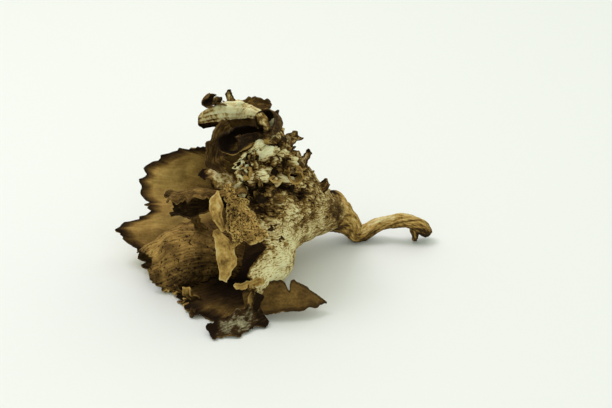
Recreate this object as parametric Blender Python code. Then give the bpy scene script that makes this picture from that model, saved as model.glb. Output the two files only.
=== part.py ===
"""A dried horn of plenty mushroom, lying on its side as it was picked.

It grew as one thin trumpet: a hooked stem that opens into a hollow bell, whose torn and
rolled margin stands out all round the mouth. So it is one solid. The bell is a sheet drawn
through ribs set round the trumpet's axis, each lobe of the margin is a narrower sheet bent
along a spine of its own, and everything is given a wall and fused. Lengths in the tables are
millimetres. +Z is up, the mouth opens towards -X and a little towards -Y, and the stem
trails off to +X. The origin is under the middle of the mushroom, on the surface it lies on.
"""

import math

import bmesh
import bpy
import numpy as np
from mathutils import Vector, noise

MM = 0.001
NODE = "horn_of_plenty"

# Where the trumpet stands, before the last move to the origin
MOUTH_CENTRE = np.array((-10.0, 3.0, 18.0))
MOUTH_DIRECTION = np.array((-20.0, -12.0, 8.0))
ORIGIN = (5.07, 2.79, 0.0)

# Walls, and how finely the sheets are divided
BELL_WALL = 0.8
LOBE_WALL = 0.7
BELL_COLUMNS = 62
BELL_ROWS = 15
ROLL_ROWS = 4
ROLL_LEAST = 2.2
GATHER = 1.3
STEM_RINGS = 23
STEM_SIDES = 9

# The dried flesh wanders: how far, and over what distance
WARP_WIDE, WARP_WIDE_SPAN = 1.0, 9.0
WARP_FINE, WARP_FINE_SPAN = 0.45, 4.0
DRIFT_SHIFTS = ((9, 0, 0), (0, 17, 0), (0, 0, 25))

# The crumples: how wide they are, how they break into finer ones, and how high they stand on
# the smooth flesh and between the two angles of the bell where it is folded
CRUMPLE_SPAN = 5.0
CRUMPLE_FINER, CRUMPLE_LAYERS = 2.1, 2
CRUMPLE_OFFSET, CRUMPLE_GAIN, CRUMPLE_MIDDLE = 0.9, 2.0, 1.2
CRUMPLE_SOFT, CRUMPLE_ROUGH = 0.35, 1.3
FOLDED_FROM, FOLDED_TO = 288.0, 372.0
CREASE_STEPS = 12

# The stem's bumps: how much they stand out, and how far they twist along it
STEM_WAIST, STEM_BUMPS = 0.12, 0.06
STEM_TWIST = 6.0

# The torn edges: how far their teeth stand out, on the bell and on the lobes
BELL_TEETH = 3.6
LOBE_TEETH = 1.8
TOOTH_SPAN = 1.7

# The cut that leaves flat spots where the mushroom lies on the surface
SLAB_SIDE, SLAB_DEPTH = 120.0, 12.0

# The lowest height of a sheet's middle, so that the cut leaves a wall over the flat spots
SETTLED = 0.3

# Ribs round the mouth: angle from the top, turning to the far side; then distance from the
# axis and distance forward of the mouth's centre at the neck, the shoulder, the belly and the
# margin; then the length that rolls beyond the margin and how far it turns inwards.
RIBS = (
    (0, 7.3, -27, 15.8, -16.0, 20.9, -9.0, 23.0, -1.0, 7.5, 190),
    (8, 7.3, -27, 15.6, -16.0, 20.5, -9.0, 22.0, 1.0, 6.5, 160),
    (15, 7.6, -27, 15.5, -16.0, 20.0, -9.0, 20.5, 1.5, 4.0, 120),
    (24, 7.6, -27, 15.0, -16.0, 18.0, -11.0, 18.5, -4.0, 3.0, 60),
    (36, 7.6, -27, 14.0, -17.0, 16.5, -13.0, 17.0, -10.0, 2.0, 40),
    (50, 7.6, -27, 14.0, -17.0, 15.8, -14.5, 16.1, -13.0, 1.0, 0),
    (66, 7.6, -27, 14.0, -17.0, 16.3, -14.0, 16.8, -12.6, 1.0, -20),
    (78, 7.6, -27, 14.0, -17.0, 17.4, -12.8, 19.0, -9.2, 1.0, -30),
    (87, 7.6, -27, 14.0, -17.0, 18.6, -11.0, 21.6, -4.8, 1.5, -40),
    (95, 7.4, -27, 14.0, -17.0, 19.0, -10.3, 23.0, -3.0, 1.5, -40),
    (103, 7.2, -27, 14.0, -17.0, 18.8, -9.8, 23.4, -1.8, 1.5, -40),
    (111, 7.0, -27, 13.8, -16.0, 18.2, -9.4, 22.1, -2.1, 1.0, -20),
    (117, 6.8, -27, 13.5, -16.0, 17.5, -9.0, 20.0, -2.9, 1.0, 0),
    (126, 6.6, -27, 13.0, -16.0, 16.8, -8.0, 20.4, 2.8, 1.5, -20),
    (131, 6.5, -27, 12.5, -16.0, 16.6, -7.0, 20.2, 5.2, 1.0, 0),
    (142, 6.3, -27, 12.3, -17.0, 16.8, -7.5, 19.4, 3.8, 1.0, 0),
    (155, 6.0, -27, 12.0, -18.0, 17.4, -8.5, 19.0, 2.2, 1.0, 0),
    (172, 5.8, -27, 11.2, -18.0, 16.4, -9.0, 18.5, 0.2, 1.0, 0),
    (190, 5.6, -27, 10.0, -19.5, 15.5, -10.0, 18.5, 0.0, 1.0, 0),
    (209, 5.5, -27, 9.0, -20.5, 16.0, -12.5, 21.0, 0.0, 1.0, 0),
    (224, 5.5, -27, 8.5, -21.0, 16.5, -15.0, 24.0, -3.0, 1.0, 0),
    (235, 5.5, -27, 8.5, -21.5, 16.3, -16.0, 22.0, -7.5, 1.0, 0),
    (248, 5.6, -27, 8.8, -21.0, 15.0, -14.8, 17.6, -6.6, 1.0, 0),
    (262, 5.8, -27, 9.8, -20.0, 14.0, -13.0, 15.4, -9.6, 1.0, 0),
    (280, 6.2, -27, 11.0, -18.0, 14.5, -10.0, 15.0, -4.0, 1.0, 0),
    (292, 6.8, -27, 13.0, -17.0, 16.5, -9.0, 14.5, -2.5, 1.0, 20),
    (302, 7.2, -27, 15.0, -16.0, 18.0, -8.0, 15.0, -1.0, 1.0, 20),
    (314, 7.4, -27, 15.0, -16.0, 19.0, -8.0, 16.5, -2.0, 1.0, 20),
    (326, 7.6, -27, 15.3, -16.0, 19.8, -9.0, 19.0, -3.5, 1.0, 20),
    (338, 7.3, -27, 15.5, -16.0, 20.6, -10.0, 20.8, -7.6, 1.0, 40),
    (350, 7.3, -27, 15.9, -16.0, 21.2, -9.5, 22.4, -5.0, 4.5, 140),
)
THROAT = (3.6, -33.5)

# Creases in the bell's near wall: angle and share of the way from the neck to the margin at
# one end, the same at the other end, how deep they are and how wide.
CREASES = (
    (326, 0.68, 306, 0.52, 1.4, 1.9),
    (316, 0.60, 300, 0.50, 1.2, 1.6),
    (345, 0.52, 320, 0.38, 1.0, 1.6),
    (300, 0.76, 294, 0.60, 1.0, 1.5),
)

# Lobes of the margin. Each has the spine's points, its widths along the spine, the way its
# brown inner face looks at the root and at the tip, how many degrees its cross-section turns
# at the root and at the tip, and how many quads run along and across it.
LOBES = {
    "left_hood": {
        "spine": ((-2, 1, 6.4), (-8, 0, 8.2), (-14.2, -0.6, 8.0), (-20.6, 0, 4.6)),
        "width": (10, 13, 15.5, 15),
        "face": ((-0.3, -0.85, 0.5), (-0.55, -0.7, 0.5)),
        "curl": (-90, -135),
        "quads": (7, 9),
    },
    "flap": {
        "spine": ((-4.0, -6.2, 26.9), (-3.2, -8.4, 24.7), (-1.6, -9.9, 21.6), (0.5, -11.6, 17.4)),
        "width": (1.4, 2.8, 5.0, 7.0),
        "face": ((-0.3, -0.8, 0.5), (0, -0.9, 0.4)),
        "curl": (-30, -45),
        "quads": (6, 5),
    },
    "high_leaf": {
        "spine": ((-5.6, -7.6, 26.2), (-6.0, -10.2, 23.2), (-4.6, -11.0, 18.6)),
        "width": (0.9, 2.7, 0.9),
        "face": ((-0.2, -0.9, 0.3), (0, -0.9, 0.2)),
        "curl": (40, 40),
        "quads": (5, 3),
    },
    "low_leaf": {
        "spine": ((-6.2, -10.6, 18.4), (-4.4, -11.9, 14.2), (-5.0, -12.4, 9.2)),
        "width": (0.9, 4.0, 1.0),
        "face": ((-0.2, -0.9, 0.3), (0, -0.9, 0.2)),
        "curl": (-30, -30),
        "quads": (6, 3),
    },
    "folded_tongue": {
        "spine": ((-0.6, -4.4, 24.4), (-4.2, -5.0, 24.0), (-9.4, -4.6, 23.6), (-15.3, -3.4, 23.2)),
        "width": (7, 9, 11, 11),
        "face": ((0.1, -0.9, -0.1), (0, -0.95, -0.1)),
        "curl": (240, 270),
        "quads": (5, 9),
    },
    "pale_strip": {
        "spine": ((-0.6, -4.0, 26.0), (-2.8, -4.6, 26.2), (-6.5, -3.5, 27.6), (-10.2, -2, 28.2)),
        "width": (3, 3.4, 4, 2.5),
        "face": ((0.0, 0.7, -0.7), (0.0, 0.7, -0.7)),
        "curl": (40, 60),
        "quads": (5, 4),
    },
    "ring_roll": {
        "spine": ((3.0, 2.0, 31.5), (-0.6, 0.5, 32.0), (-3.8, -2.4, 32.6), (-5.0, -5.4, 33.4)),
        "width": (9, 11, 11.5, 11.5),
        "face": ((0.4, 0.1, 0.9), (0.4, 0.1, 0.9)),
        "curl": (240, 318),
        "spiral": 0.08,
        "quads": (4, 11),
    },
    "pocket": {
        "spine": ((-3.4, 2.6, 35.0), (-6.0, -0.4, 33.4), (-6.6, -2.6, 30.8), (-4.8, -3.2, 29.0)),
        "width": (5, 5, 5, 3),
        "face": ((-0.2, -0.9, 0.1), (0.3, -0.9, 0.3)),
        "curl": (60, 110),
        "quads": (6, 4),
    },
    "slot_roll": {
        "spine": ((5.6, 4.0, 36.4), (5.2, 1.2, 38.4), (4.6, -1.6, 40.0)),
        "width": (9, 12, 13.0),
        "face": ((-0.5, 0, -0.8), (-0.5, 0, -0.8)),
        "curl": (290, 310),
        "quads": (3, 9),
    },
    "left_knob": {
        "spine": ((-7.4, 8.4, 37.0), (-8.2, 6.0, 37.8), (-8.6, 3.4, 38.2)),
        "width": (6.5, 7, 7),
        "face": ((0.3, 0, 0.9), (0.3, 0, 0.9)),
        "curl": (260, 300),
        "quads": (4, 8),
    },
    "crest": {
        "spine": ((-1.8, 6.9, 36.6), (0.8, 8.0, 37.5), (3.4, 8.8, 37.2)),
        "width": (3.0, 4.2, 3.4),
        "face": ((0.2, -0.7, 0.7), (0.3, -0.8, 0.5)),
        "curl": (110, 150),
        "quads": (5, 5),
    },
    "crest_tooth": {
        "spine": ((-3.4, 7.4, 37.8), (-3.5, 7.8, 39.2), (-3.2, 7.6, 40.5)),
        "width": (3.0, 2.6, 1.4),
        "face": ((-0.6, -0.8, 0.0), (-0.4, -0.9, 0.2)),
        "curl": (40, 60),
        "quads": (3, 3),
    },
    "wing": {
        "spine": ((-1, -11, 2.6), (4, -10.3, 3.4), (10, -9.7, 3.9), (15.4, -8.8, 3.4)),
        "width": (5, 7.2, 5.4, 0.9),
        "face": ((0, -0.62, 0.78), (0.1, -0.62, 0.78)),
        "curl": (20, 30),
        "quads": (8, 4),
    },
    "wing_curl": {
        "spine": ((1.6, -11.2, 5.6), (0.6, -12.4, 4.0), (0.5, -13.2, 2.2)),
        "width": (3.4, 4.0, 3.0),
        "face": ((-0.6, -0.8, 0.1), (-0.5, -0.8, 0.3)),
        "curl": (-150, -200),
        "quads": (4, 5),
    },
    "rim_fold": {
        "spine": ((3.0, -10.4, 7.4), (0.0, -11.2, 8.2), (-2.8, -11.6, 7.9)),
        "width": (1.6, 1.6, 1.2),
        "face": ((-0.2, -0.5, 0.8), (-0.2, -0.5, 0.8)),
        "curl": (-40, -60),
        "quads": (4, 4),
    },
    "toe": {
        "spine": ((2.8, -13.0, 2.4), (-3, -16.2, 1.9), (-7.4, -18.6, 1.3)),
        "width": (4.6, 4.4, 2.8),
        "face": ((0, 0.6, -0.8), (0, 0.6, -0.8)),
        "curl": (-30, -60),
        "quads": (5, 3),
    },
    "floor_curl": {
        "spine": ((-10.6, -5.2, 1.4), (-11.8, -5.8, 3.0), (-12.2, -6.4, 4.8)),
        "width": (3.4, 3.0, 2.4),
        "face": ((-0.5, -0.8, 0.3), (-0.5, -0.8, 0.3)),
        "curl": (120, 170),
        "quads": (3, 4),
    },
    "edge_scrap": {
        "spine": ((-12.4, -4.2, 0.9), (-14.2, -4.6, 1.8), (-15.4, -4.2, 3.0)),
        "width": (2.2, 2.0, 1.2),
        "face": ((0.5, 0.6, 0.4), (0.5, 0.6, 0.4)),
        "curl": (40, 60),
        "quads": (3, 2),
    },
    "hood_scrap": {
        "spine": ((-9.4, 3.8, 11.4), (-10.8, 3.6, 12.8), (-12.2, 3.4, 14.0)),
        "width": (1.8, 2.0, 1.4),
        "face": ((-0.2, -0.7, 0.6), (-0.2, -0.7, 0.6)),
        "curl": (40, 60),
        "quads": (3, 3),
    },
    "wall_spiral": {
        "spine": ((8.8, 1.6, 24.6), (9.6, -1.4, 25.2), (10.0, -3.2, 25.4)),
        "width": (8, 9, 9),
        "face": ((-0.4, 0, 0.9), (-0.4, 0, 0.9)),
        "curl": (270, 290),
        "quads": (3, 9),
    },
    "wall_curl": {
        "spine": ((0.6, -3.2, 27.6), (1.0, -5.4, 29.2), (0.8, -6.2, 30.8)),
        "width": (3.6, 3.6, 2.4),
        "face": ((-0.8, -0.5, 0.2), (-0.8, -0.5, 0.2)),
        "curl": (120, 170),
        "quads": (4, 5),
    },
    "high_knob": {
        "spine": ((7.6, 7.0, 28.6), (8.8, 7.2, 30.2), (10.0, 7.4, 31.8)),
        "width": (3.0, 2.8, 2.4),
        "face": ((-0.6, -0.6, 0.5), (-0.6, -0.6, 0.5)),
        "curl": (80, 110),
        "quads": (3, 4),
    },
    "thin_knob": {
        "spine": ((10.4, 8.2, 24.2), (11.5, 8.4, 25.6), (12.6, 8.6, 27.0)),
        "width": (3.0, 2.8, 2.4),
        "face": ((-0.6, -0.6, 0.5), (-0.6, -0.6, 0.5)),
        "curl": (80, 110),
        "quads": (3, 4),
    },
    "neck_knob": {
        "spine": ((13.8, 11.8, 16.0), (14.9, 12.0, 17.2), (16.0, 12.2, 18.4)),
        "width": (3.0, 2.8, 2.4),
        "face": ((-0.6, -0.6, 0.5), (-0.6, -0.6, 0.5)),
        "curl": (80, 110),
        "quads": (3, 4),
    },
}

# The stem from inside the bell's neck to its hooked end, and the second point of the hook:
# x, y, z and radius.
STEM = (
    (13.6, 17.2, 8.9, 4.3), (16.8, 19.0, 6.9, 3.8), (19.6, 20.0, 4.3, 2.7), (22.8, 19.9, 1.5, 1.95),
    (26.2, 20.0, 3.1, 1.6), (28.4, 20.0, 4.5, 1.45), (30.6, 20.0, 5.1, 1.4), (32.8, 20.0, 5.0, 1.4),
    (34.9, 20.0, 4.2, 1.5), (36.8, 20.0, 2.8, 1.4), (37.7, 20.0, 1.7, 0.9),
)
PRONG = (
    (32.4, 20.0, 5.0, 0.95), (33.8, 19.8, 4.0, 0.95), (34.5, 19.3, 2.2, 0.85), (34.4, 19.0, 0.5, 0.6),
)
PRONG_RINGS = 6
PRONG_SIDES = 6


# The free edges of a grid, each with the line of points beside it
ALL = slice(None)
BELL_EDGE = ((ALL, -1), (ALL, -2))
LOBE_EDGES = (((ALL, 0), (ALL, 1)), ((ALL, -1), (ALL, -2)), ((-1, ALL), (-2, ALL)))


def unit(vector):
    vector = np.asarray(vector, float)
    return vector / np.linalg.norm(vector)


AXIS = unit(MOUTH_DIRECTION)
TOP = unit(np.array((0.0, 0.0, 1.0)) - AXIS[2] * AXIS)
FAR_SIDE = np.cross(AXIS, TOP)


def curve_through(points, places):
    """Catmull-Rom curve through points, read at places that run from 0 to the last point's index."""
    points = np.asarray(points, float)
    last = len(points) - 1
    padded = np.vstack([2 * points[0] - points[1], points, 2 * points[-1] - points[-2]])
    start = np.clip(np.floor(places).astype(int), 0, last - 1)
    t = (places - start)[:, None]
    a, b, c, d = (padded[start + k] for k in range(4))
    return 0.5 * (2 * b + (c - a) * t + (2 * a - 5 * b + 4 * c - d) * t**2
                  + (3 * b - a - 3 * c + d) * t**3)


def stepped(points, count):
    """count points along the smooth curve through points, closer together towards its end."""
    dense = curve_through(points, np.linspace(0, len(points) - 1, 60 * len(points)))
    length = np.concatenate([[0], np.cumsum(np.linalg.norm(np.diff(dense, axis=0), axis=1))])
    at = length[-1] * (1 - (1 - np.linspace(0, 1, count)) ** GATHER)
    return np.array([np.interp(at, length, column) for column in dense.T]).T


def round_the_mouth(angles, values, at):
    """Smooth closed curve through the ribs' values, read at angles in degrees."""
    span = (np.roll(angles, -1) - np.roll(angles, 1)) % 360
    slope = (np.roll(values, -1, 0) - np.roll(values, 1, 0)) / span[:, None]
    here = (np.searchsorted(angles, at % 360, side="right") - 1) % len(angles)
    after = (here + 1) % len(angles)
    gap = (angles[after] - angles[here]) % 360
    t = (((at - angles[here]) % 360) / gap)[:, None]
    gap = gap[:, None]
    return ((2 * t**3 - 3 * t**2 + 1) * values[here] + (t**3 - 2 * t**2 + t) * gap * slope[here]
            + (3 * t**2 - 2 * t**3) * values[after] + (t**3 - t**2) * gap * slope[after])


def rolled_on(profile, length, turn, steps):
    """The profile in (radius, forward), carried on past its end along an arc that turns inwards."""
    heading = math.atan2(*(profile[-1] - profile[-2]))
    points = [profile[-1]]
    for _ in range(steps):
        heading -= math.radians(turn) / steps
        step = max(length, ROLL_LEAST) / steps
        points.append(points[-1] + step * np.array((math.sin(heading), math.cos(heading))))
    return np.vstack([profile, points[1:]])


def bell_sheet():
    """Middle surface of the bell, as a grid of columns round the mouth by rows from the neck."""
    table = np.array(RIBS, float)
    angles = np.arange(BELL_COLUMNS) * 360 / BELL_COLUMNS
    ribs = round_the_mouth(table[:, 0], table[:, 1:], angles)
    columns = []
    for angle, rib in zip(np.radians(angles), ribs):
        points = [THROAT, *rib[:8].reshape(4, 2)]
        profile = rolled_on(stepped(points, BELL_ROWS), rib[8], rib[9], ROLL_ROWS)
        outwards = math.cos(angle) * TOP + math.sin(angle) * FAR_SIDE
        columns.append(MOUTH_CENTRE + profile[:, :1] * outwards + profile[:, 1:] * AXIS)
    return np.array(columns)


def cross_section(width, turn, spiral, quads):
    """Points of an arc of that width and turn, as (across, towards the face), with its middle at 0.

    spiral tightens one edge and opens the other, so that a roll can pass itself."""
    at = np.linspace(-0.5, 0.5, quads + 1)
    step = width / quads
    bend = math.radians(turn) / width * (1 - 2.4 * spiral * at)
    heading = np.concatenate([[0], np.cumsum((bend[1:] + bend[:-1]) / 2 * step)])
    heading -= np.interp(0, at, heading)
    middle = (heading[1:] + heading[:-1]) / 2
    across = np.concatenate([[0], np.cumsum(np.cos(middle) * step)])
    towards = np.concatenate([[0], np.cumsum(np.sin(middle) * step)])
    return across - np.interp(0, at, across), towards - np.interp(0, at, towards)


def lobe_sheet(lobe):
    """Middle surface of a lobe, as a grid of rows along its spine by points across it."""
    along, across = lobe["quads"]
    share = np.linspace(0, 1, along + 1)[:, None]
    places = share[:, 0] * (len(lobe["spine"]) - 1)
    spine = curve_through(lobe["spine"], places)
    width_places = share[:, 0] * (len(lobe["width"]) - 1)
    widths = curve_through(np.array(lobe["width"], float)[:, None], width_places)[:, 0]
    forward = np.gradient(spine, axis=0)
    forward /= np.linalg.norm(forward, axis=1)[:, None]
    face = (1 - share) * unit(lobe["face"][0]) + share * unit(lobe["face"][1])
    face -= (face * forward).sum(axis=1)[:, None] * forward
    face /= np.linalg.norm(face, axis=1)[:, None]
    sideways = np.cross(forward, face)
    turns = (1 - share[:, 0]) * lobe["curl"][0] + share[:, 0] * lobe["curl"][1]
    rows = []
    for k, (width, turn) in enumerate(zip(widths, turns)):
        x, y = cross_section(width, turn, lobe.get("spiral", 0), across)
        rows.append(spine[k] + x[:, None] * sideways[k] + y[:, None] * face[k])
    return np.array(rows)


def tube_rings(path, rings, sides):
    """Rings of a bumpy tube along a path of x, y, z and radius."""
    path = curve_through(path, np.linspace(0, len(path) - 1, rings))
    forward = np.gradient(path[:, :3], axis=0)
    forward /= np.linalg.norm(forward, axis=1)[:, None]
    first = np.cross(forward, (0.1, 1.0, 0.0))
    first /= np.linalg.norm(first, axis=1)[:, None]
    second = np.cross(forward, first)
    angle = np.arange(sides) * 2 * math.pi / sides
    grid = []
    for k in range(rings):
        twisted = angle + STEM_TWIST * k / rings
        uneven = STEM_WAIST * np.cos(2 * twisted) + STEM_BUMPS * np.cos(5 * twisted + 1)
        radius = (path[k, 3] * (1 + uneven))[:, None]
        round_the_path = np.cos(angle)[:, None] * first[k] + np.sin(angle)[:, None] * second[k]
        grid.append(path[k, :3] + radius * round_the_path)
    return np.array(grid)


def drift(point, span):
    """A smooth field of pushes along X, Y and Z, that changes over the span."""
    place = Vector(point) / span
    return np.array([noise.noise(place + Vector(shift)) for shift in DRIFT_SHIFTS])


def warped(grid):
    """The grid's points, moved a little by two smooth fields, as flesh shrinks while it dries."""
    points = grid.reshape(-1, 3).copy()
    for k, point in enumerate(points):
        wide = WARP_WIDE * drift(point, WARP_WIDE_SPAN)
        fine = WARP_FINE * drift(point, WARP_FINE_SPAN)
        points[k] = point + wide + fine
    return points.reshape(grid.shape)


def grid_normals(grid, closed):
    """Unit normals of a grid of points. Where closed, its last column meets its first."""
    if closed:
        along = np.roll(grid, -1, 0) - np.roll(grid, 1, 0)
    else:
        along = np.gradient(grid, axis=0)
    normal = np.cross(along, np.gradient(grid, axis=1))
    return normal / np.maximum(np.linalg.norm(normal, axis=2)[:, :, None], 1e-9)


def crumpled(grid, height, closed=False):
    """The grid's points, raised along its normals in sharp ridges of up to that height."""
    raised = grid.copy()
    normals = grid_normals(grid, closed)
    for index in np.ndindex(grid.shape[:2]):
        place = Vector(grid[index]) / CRUMPLE_SPAN
        ridge = noise.ridged_multi_fractal(place, 1.0, CRUMPLE_FINER, CRUMPLE_LAYERS,
                                           CRUMPLE_OFFSET, CRUMPLE_GAIN)
        raised[index] += height[index] * (ridge - CRUMPLE_MIDDLE) * normals[index]
    return raised


def angle_between(angles, angle):
    """How many degrees lie between each of the angles and angle, the short way round."""
    return np.abs((angles - angle + 180) % 360 - 180)


def bell_roughness():
    """How high the crumples stand on each point of the bell: most on the near upper wall."""
    angles = np.arange(BELL_COLUMNS) * 360 / BELL_COLUMNS
    away = angle_between(angles, (FOLDED_FROM + FOLDED_TO) / 2) / ((FOLDED_TO - FOLDED_FROM) / 2)
    folded = np.clip(1.5 - away, 0, 1)
    rows = np.linspace(0, 1, BELL_ROWS + ROLL_ROWS)
    along = np.clip((rows - 0.15) / 0.25, 0, 1) * np.clip((0.9 - rows) / 0.25, 0, 1)
    return CRUMPLE_SOFT + (CRUMPLE_ROUGH - CRUMPLE_SOFT) * folded[:, None] * along[None, :]


def creased(grid):
    """The bell's grid, pressed in along its creases."""
    normals = grid_normals(grid, True)
    angles = np.arange(BELL_COLUMNS) * 360 / BELL_COLUMNS
    rows = np.linspace(0, 1, BELL_ROWS + ROLL_ROWS)
    pressed = grid.copy()
    for from_angle, from_row, to_angle, to_row, depth, width in CREASES:
        steps = np.linspace(0, 1, CREASE_STEPS)[:, None]
        line = []
        for angle, row in (1 - steps) * (from_angle, from_row) + steps * (to_angle, to_row):
            line.append(grid[angle_between(angles, angle).argmin(), np.abs(rows - row).argmin()])
        away = np.linalg.norm(grid[:, :, None] - np.array(line), axis=3).min(axis=2)
        pressed -= depth * np.exp(-(away / width) ** 2)[:, :, None] * normals
    return pressed


def torn(grid, height, edges):
    """The grid with its edges drawn out in uneven teeth. edges are (edge, line beside it)."""
    frayed = grid.copy()
    for edge, beside in edges:
        for k, point in enumerate(grid[edge]):
            tooth = noise.noise(Vector(point) / TOOTH_SPAN + Vector((0, 0, 31)))
            outwards = unit(point - grid[beside][k])
            frayed[edge][k] = point + height * max(tooth, 0) * outwards
    return frayed


def settled(grid):
    """The grid's points, lifted where they would sink into the surface below."""
    lifted = grid.copy()
    lifted[..., 2] = np.maximum(lifted[..., 2], SETTLED)
    return lifted


def mesh_object(name, points, faces):
    """An object with its faces split into triangles, so that both sides of a wall split alike."""
    mesh = bpy.data.meshes.new(name)
    mesh.from_pydata((points.reshape(-1, 3) * MM).tolist(), [], faces)
    shape = bmesh.new()
    shape.from_mesh(mesh)
    bmesh.ops.triangulate(shape, faces=shape.faces, quad_method="SHORT_EDGE")
    bmesh.ops.recalc_face_normals(shape, faces=shape.faces)
    shape.to_mesh(mesh)
    shape.free()
    obj = bpy.data.objects.new(name, mesh)
    bpy.context.scene.collection.objects.link(obj)
    return obj


def sheet_object(name, grid, wall, closed=False):
    """A grid of points as a sheet with a wall."""
    rows, width = grid.shape[:2]
    faces = []
    for i in range(rows if closed else rows - 1):
        after = (i + 1) % rows
        for k in range(width - 1):
            faces.append((i * width + k, after * width + k, after * width + k + 1, i * width + k + 1))
    obj = mesh_object(name, grid, faces)
    thicken = obj.modifiers.new("wall", "SOLIDIFY")
    thicken.thickness = wall * MM
    thicken.offset = 0
    return obj


def tube_object(name, rings):
    """Rings of points as a closed tube with flat ends."""
    count, sides = rings.shape[:2]
    faces = []
    for k in range(count - 1):
        for i in range(sides):
            j = (i + 1) % sides
            faces.append((k * sides + i, k * sides + j, (k + 1) * sides + j, (k + 1) * sides + i))
    faces.append(tuple(range(sides)))
    faces.append(tuple((count - 1) * sides + i for i in range(sides)))
    return mesh_object(name, rings, faces)


def evaluated(obj):
    """obj with its modifiers applied to its mesh."""
    graph = bpy.context.evaluated_depsgraph_get()
    mesh = bpy.data.meshes.new_from_object(obj.evaluated_get(graph))
    obj.modifiers.clear()
    obj.data = mesh
    return obj


def fused(body, others):
    """body joined with the other closed shapes into one solid. The others are removed."""
    group = bpy.data.collections.new("joined")
    bpy.context.scene.collection.children.link(group)
    for other in others:
        group.objects.link(other)
    join = body.modifiers.new("join", "BOOLEAN")
    join.operation = "UNION"
    join.operand_type = "COLLECTION"
    join.collection = group
    join.solver = "MANIFOLD"
    evaluated(body)
    for other in others:
        bpy.data.objects.remove(other)
    bpy.data.collections.remove(group)
    return body


def rested(body):
    """body cut level where it would pass through the surface that it lies on."""
    bpy.ops.mesh.primitive_cube_add(size=1, location=(0, 0, -SLAB_DEPTH / 2 * MM))
    slab = bpy.context.object
    slab.scale = (SLAB_SIDE * MM, SLAB_SIDE * MM, SLAB_DEPTH * MM)
    cut = body.modifiers.new("rest", "BOOLEAN")
    cut.operation = "DIFFERENCE"
    cut.object = slab
    cut.solver = "MANIFOLD"
    bpy.context.view_layer.update()
    evaluated(body)
    bpy.data.objects.remove(slab)
    return body


def flesh_material():
    """Matt grey-brown of the dried outer face."""
    material = bpy.data.materials.new("dried_flesh")
    material.use_nodes = True
    shader = material.node_tree.nodes["Principled BSDF"]
    shader.inputs["Base Color"].default_value = (0.26, 0.19, 0.10, 1.0)
    shader.inputs["Roughness"].default_value = 0.85
    shader.inputs["Metallic"].default_value = 0.0
    return material


def build_pieces():
    """The bell first, then every piece that is fused to it."""
    bell = creased(crumpled(warped(bell_sheet()), bell_roughness(), closed=True))
    bell = torn(bell, BELL_TEETH, [BELL_EDGE])
    pieces = [sheet_object(NODE, settled(bell), BELL_WALL, closed=True)]
    for name, lobe in LOBES.items():
        grid = warped(lobe_sheet(lobe))
        grid = crumpled(grid, np.full(grid.shape[:2], CRUMPLE_SOFT))
        grid = torn(grid, LOBE_TEETH, LOBE_EDGES)
        pieces.append(sheet_object(name, settled(grid), LOBE_WALL))
    pieces.append(tube_object("stem", warped(tube_rings(STEM, STEM_RINGS, STEM_SIDES))))
    pieces.append(tube_object("prong", warped(tube_rings(PRONG, PRONG_RINGS, PRONG_SIDES))))
    return [evaluated(piece) for piece in pieces]


def main():
    for obj in list(bpy.data.objects):
        bpy.data.objects.remove(obj)
    body, *others = build_pieces()
    mushroom = rested(fused(body, others))
    mushroom.data.materials.clear()
    mushroom.data.materials.append(flesh_material())
    mushroom.location = -Vector(ORIGIN) * MM


main()
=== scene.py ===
# %% [markdown]
# # A dried horn of plenty
# This mushroom grew as one thin trumpet and then shrank as it dried. Its outer face is pale and
# felted, its inner face is brown, and its margin is torn, rolled and curled all round the mouth.
# The lesson rebuilds its looks over the solid, from nearly the same tables with many more
# points, so each wrinkle can be real geometry.

# %% Load the solid
import math
import random

import bmesh
import bpy
import numpy as np
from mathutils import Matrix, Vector, noise


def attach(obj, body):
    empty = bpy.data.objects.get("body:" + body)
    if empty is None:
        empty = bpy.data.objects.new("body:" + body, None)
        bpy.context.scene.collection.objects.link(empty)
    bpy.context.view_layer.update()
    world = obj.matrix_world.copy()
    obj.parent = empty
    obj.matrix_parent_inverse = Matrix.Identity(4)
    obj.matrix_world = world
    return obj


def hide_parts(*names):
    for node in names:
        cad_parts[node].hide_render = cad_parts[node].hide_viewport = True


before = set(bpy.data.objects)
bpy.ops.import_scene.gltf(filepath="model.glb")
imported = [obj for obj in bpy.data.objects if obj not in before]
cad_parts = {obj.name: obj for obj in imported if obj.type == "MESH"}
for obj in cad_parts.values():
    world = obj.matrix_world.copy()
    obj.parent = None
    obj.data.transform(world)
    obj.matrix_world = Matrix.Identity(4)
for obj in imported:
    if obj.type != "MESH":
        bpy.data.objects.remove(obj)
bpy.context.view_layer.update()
bpy.ops.object.select_all(action="DESELECT")
MM = 0.001
NODE = "horn_of_plenty"

# %% [markdown]
# The trumpet lies on its side. Its mouth faces left and a little towards the camera, and its
# axis rises a little. Every length below is in millimetres, in the frame of the trumpet, and
# ORIGIN moves the finished pieces to the place of the solid.

# %% The trumpet's axis
MOUTH_CENTRE = np.array((-10.0, 3.0, 18.0))
MOUTH_DIRECTION = np.array((-20.0, -12.0, 8.0))
ORIGIN = np.array((5.07, 2.79, 0.0))


def unit(vector):
    vector = np.asarray(vector, float)
    return vector / np.linalg.norm(vector)


AXIS = unit(MOUTH_DIRECTION)
TOP = unit(np.array((0.0, 0.0, 1.0)) - AXIS[2] * AXIS)
FAR_SIDE = np.cross(AXIS, TOP)

# %% [markdown]
# The bell is described by ribs, as an umbrella is: for each angle round the mouth, how far
# the sheet stands from the axis at its neck, then how far it stands out and reaches forward at
# its shoulder, belly and margin. The last two values roll the margin on past its end.

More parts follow.
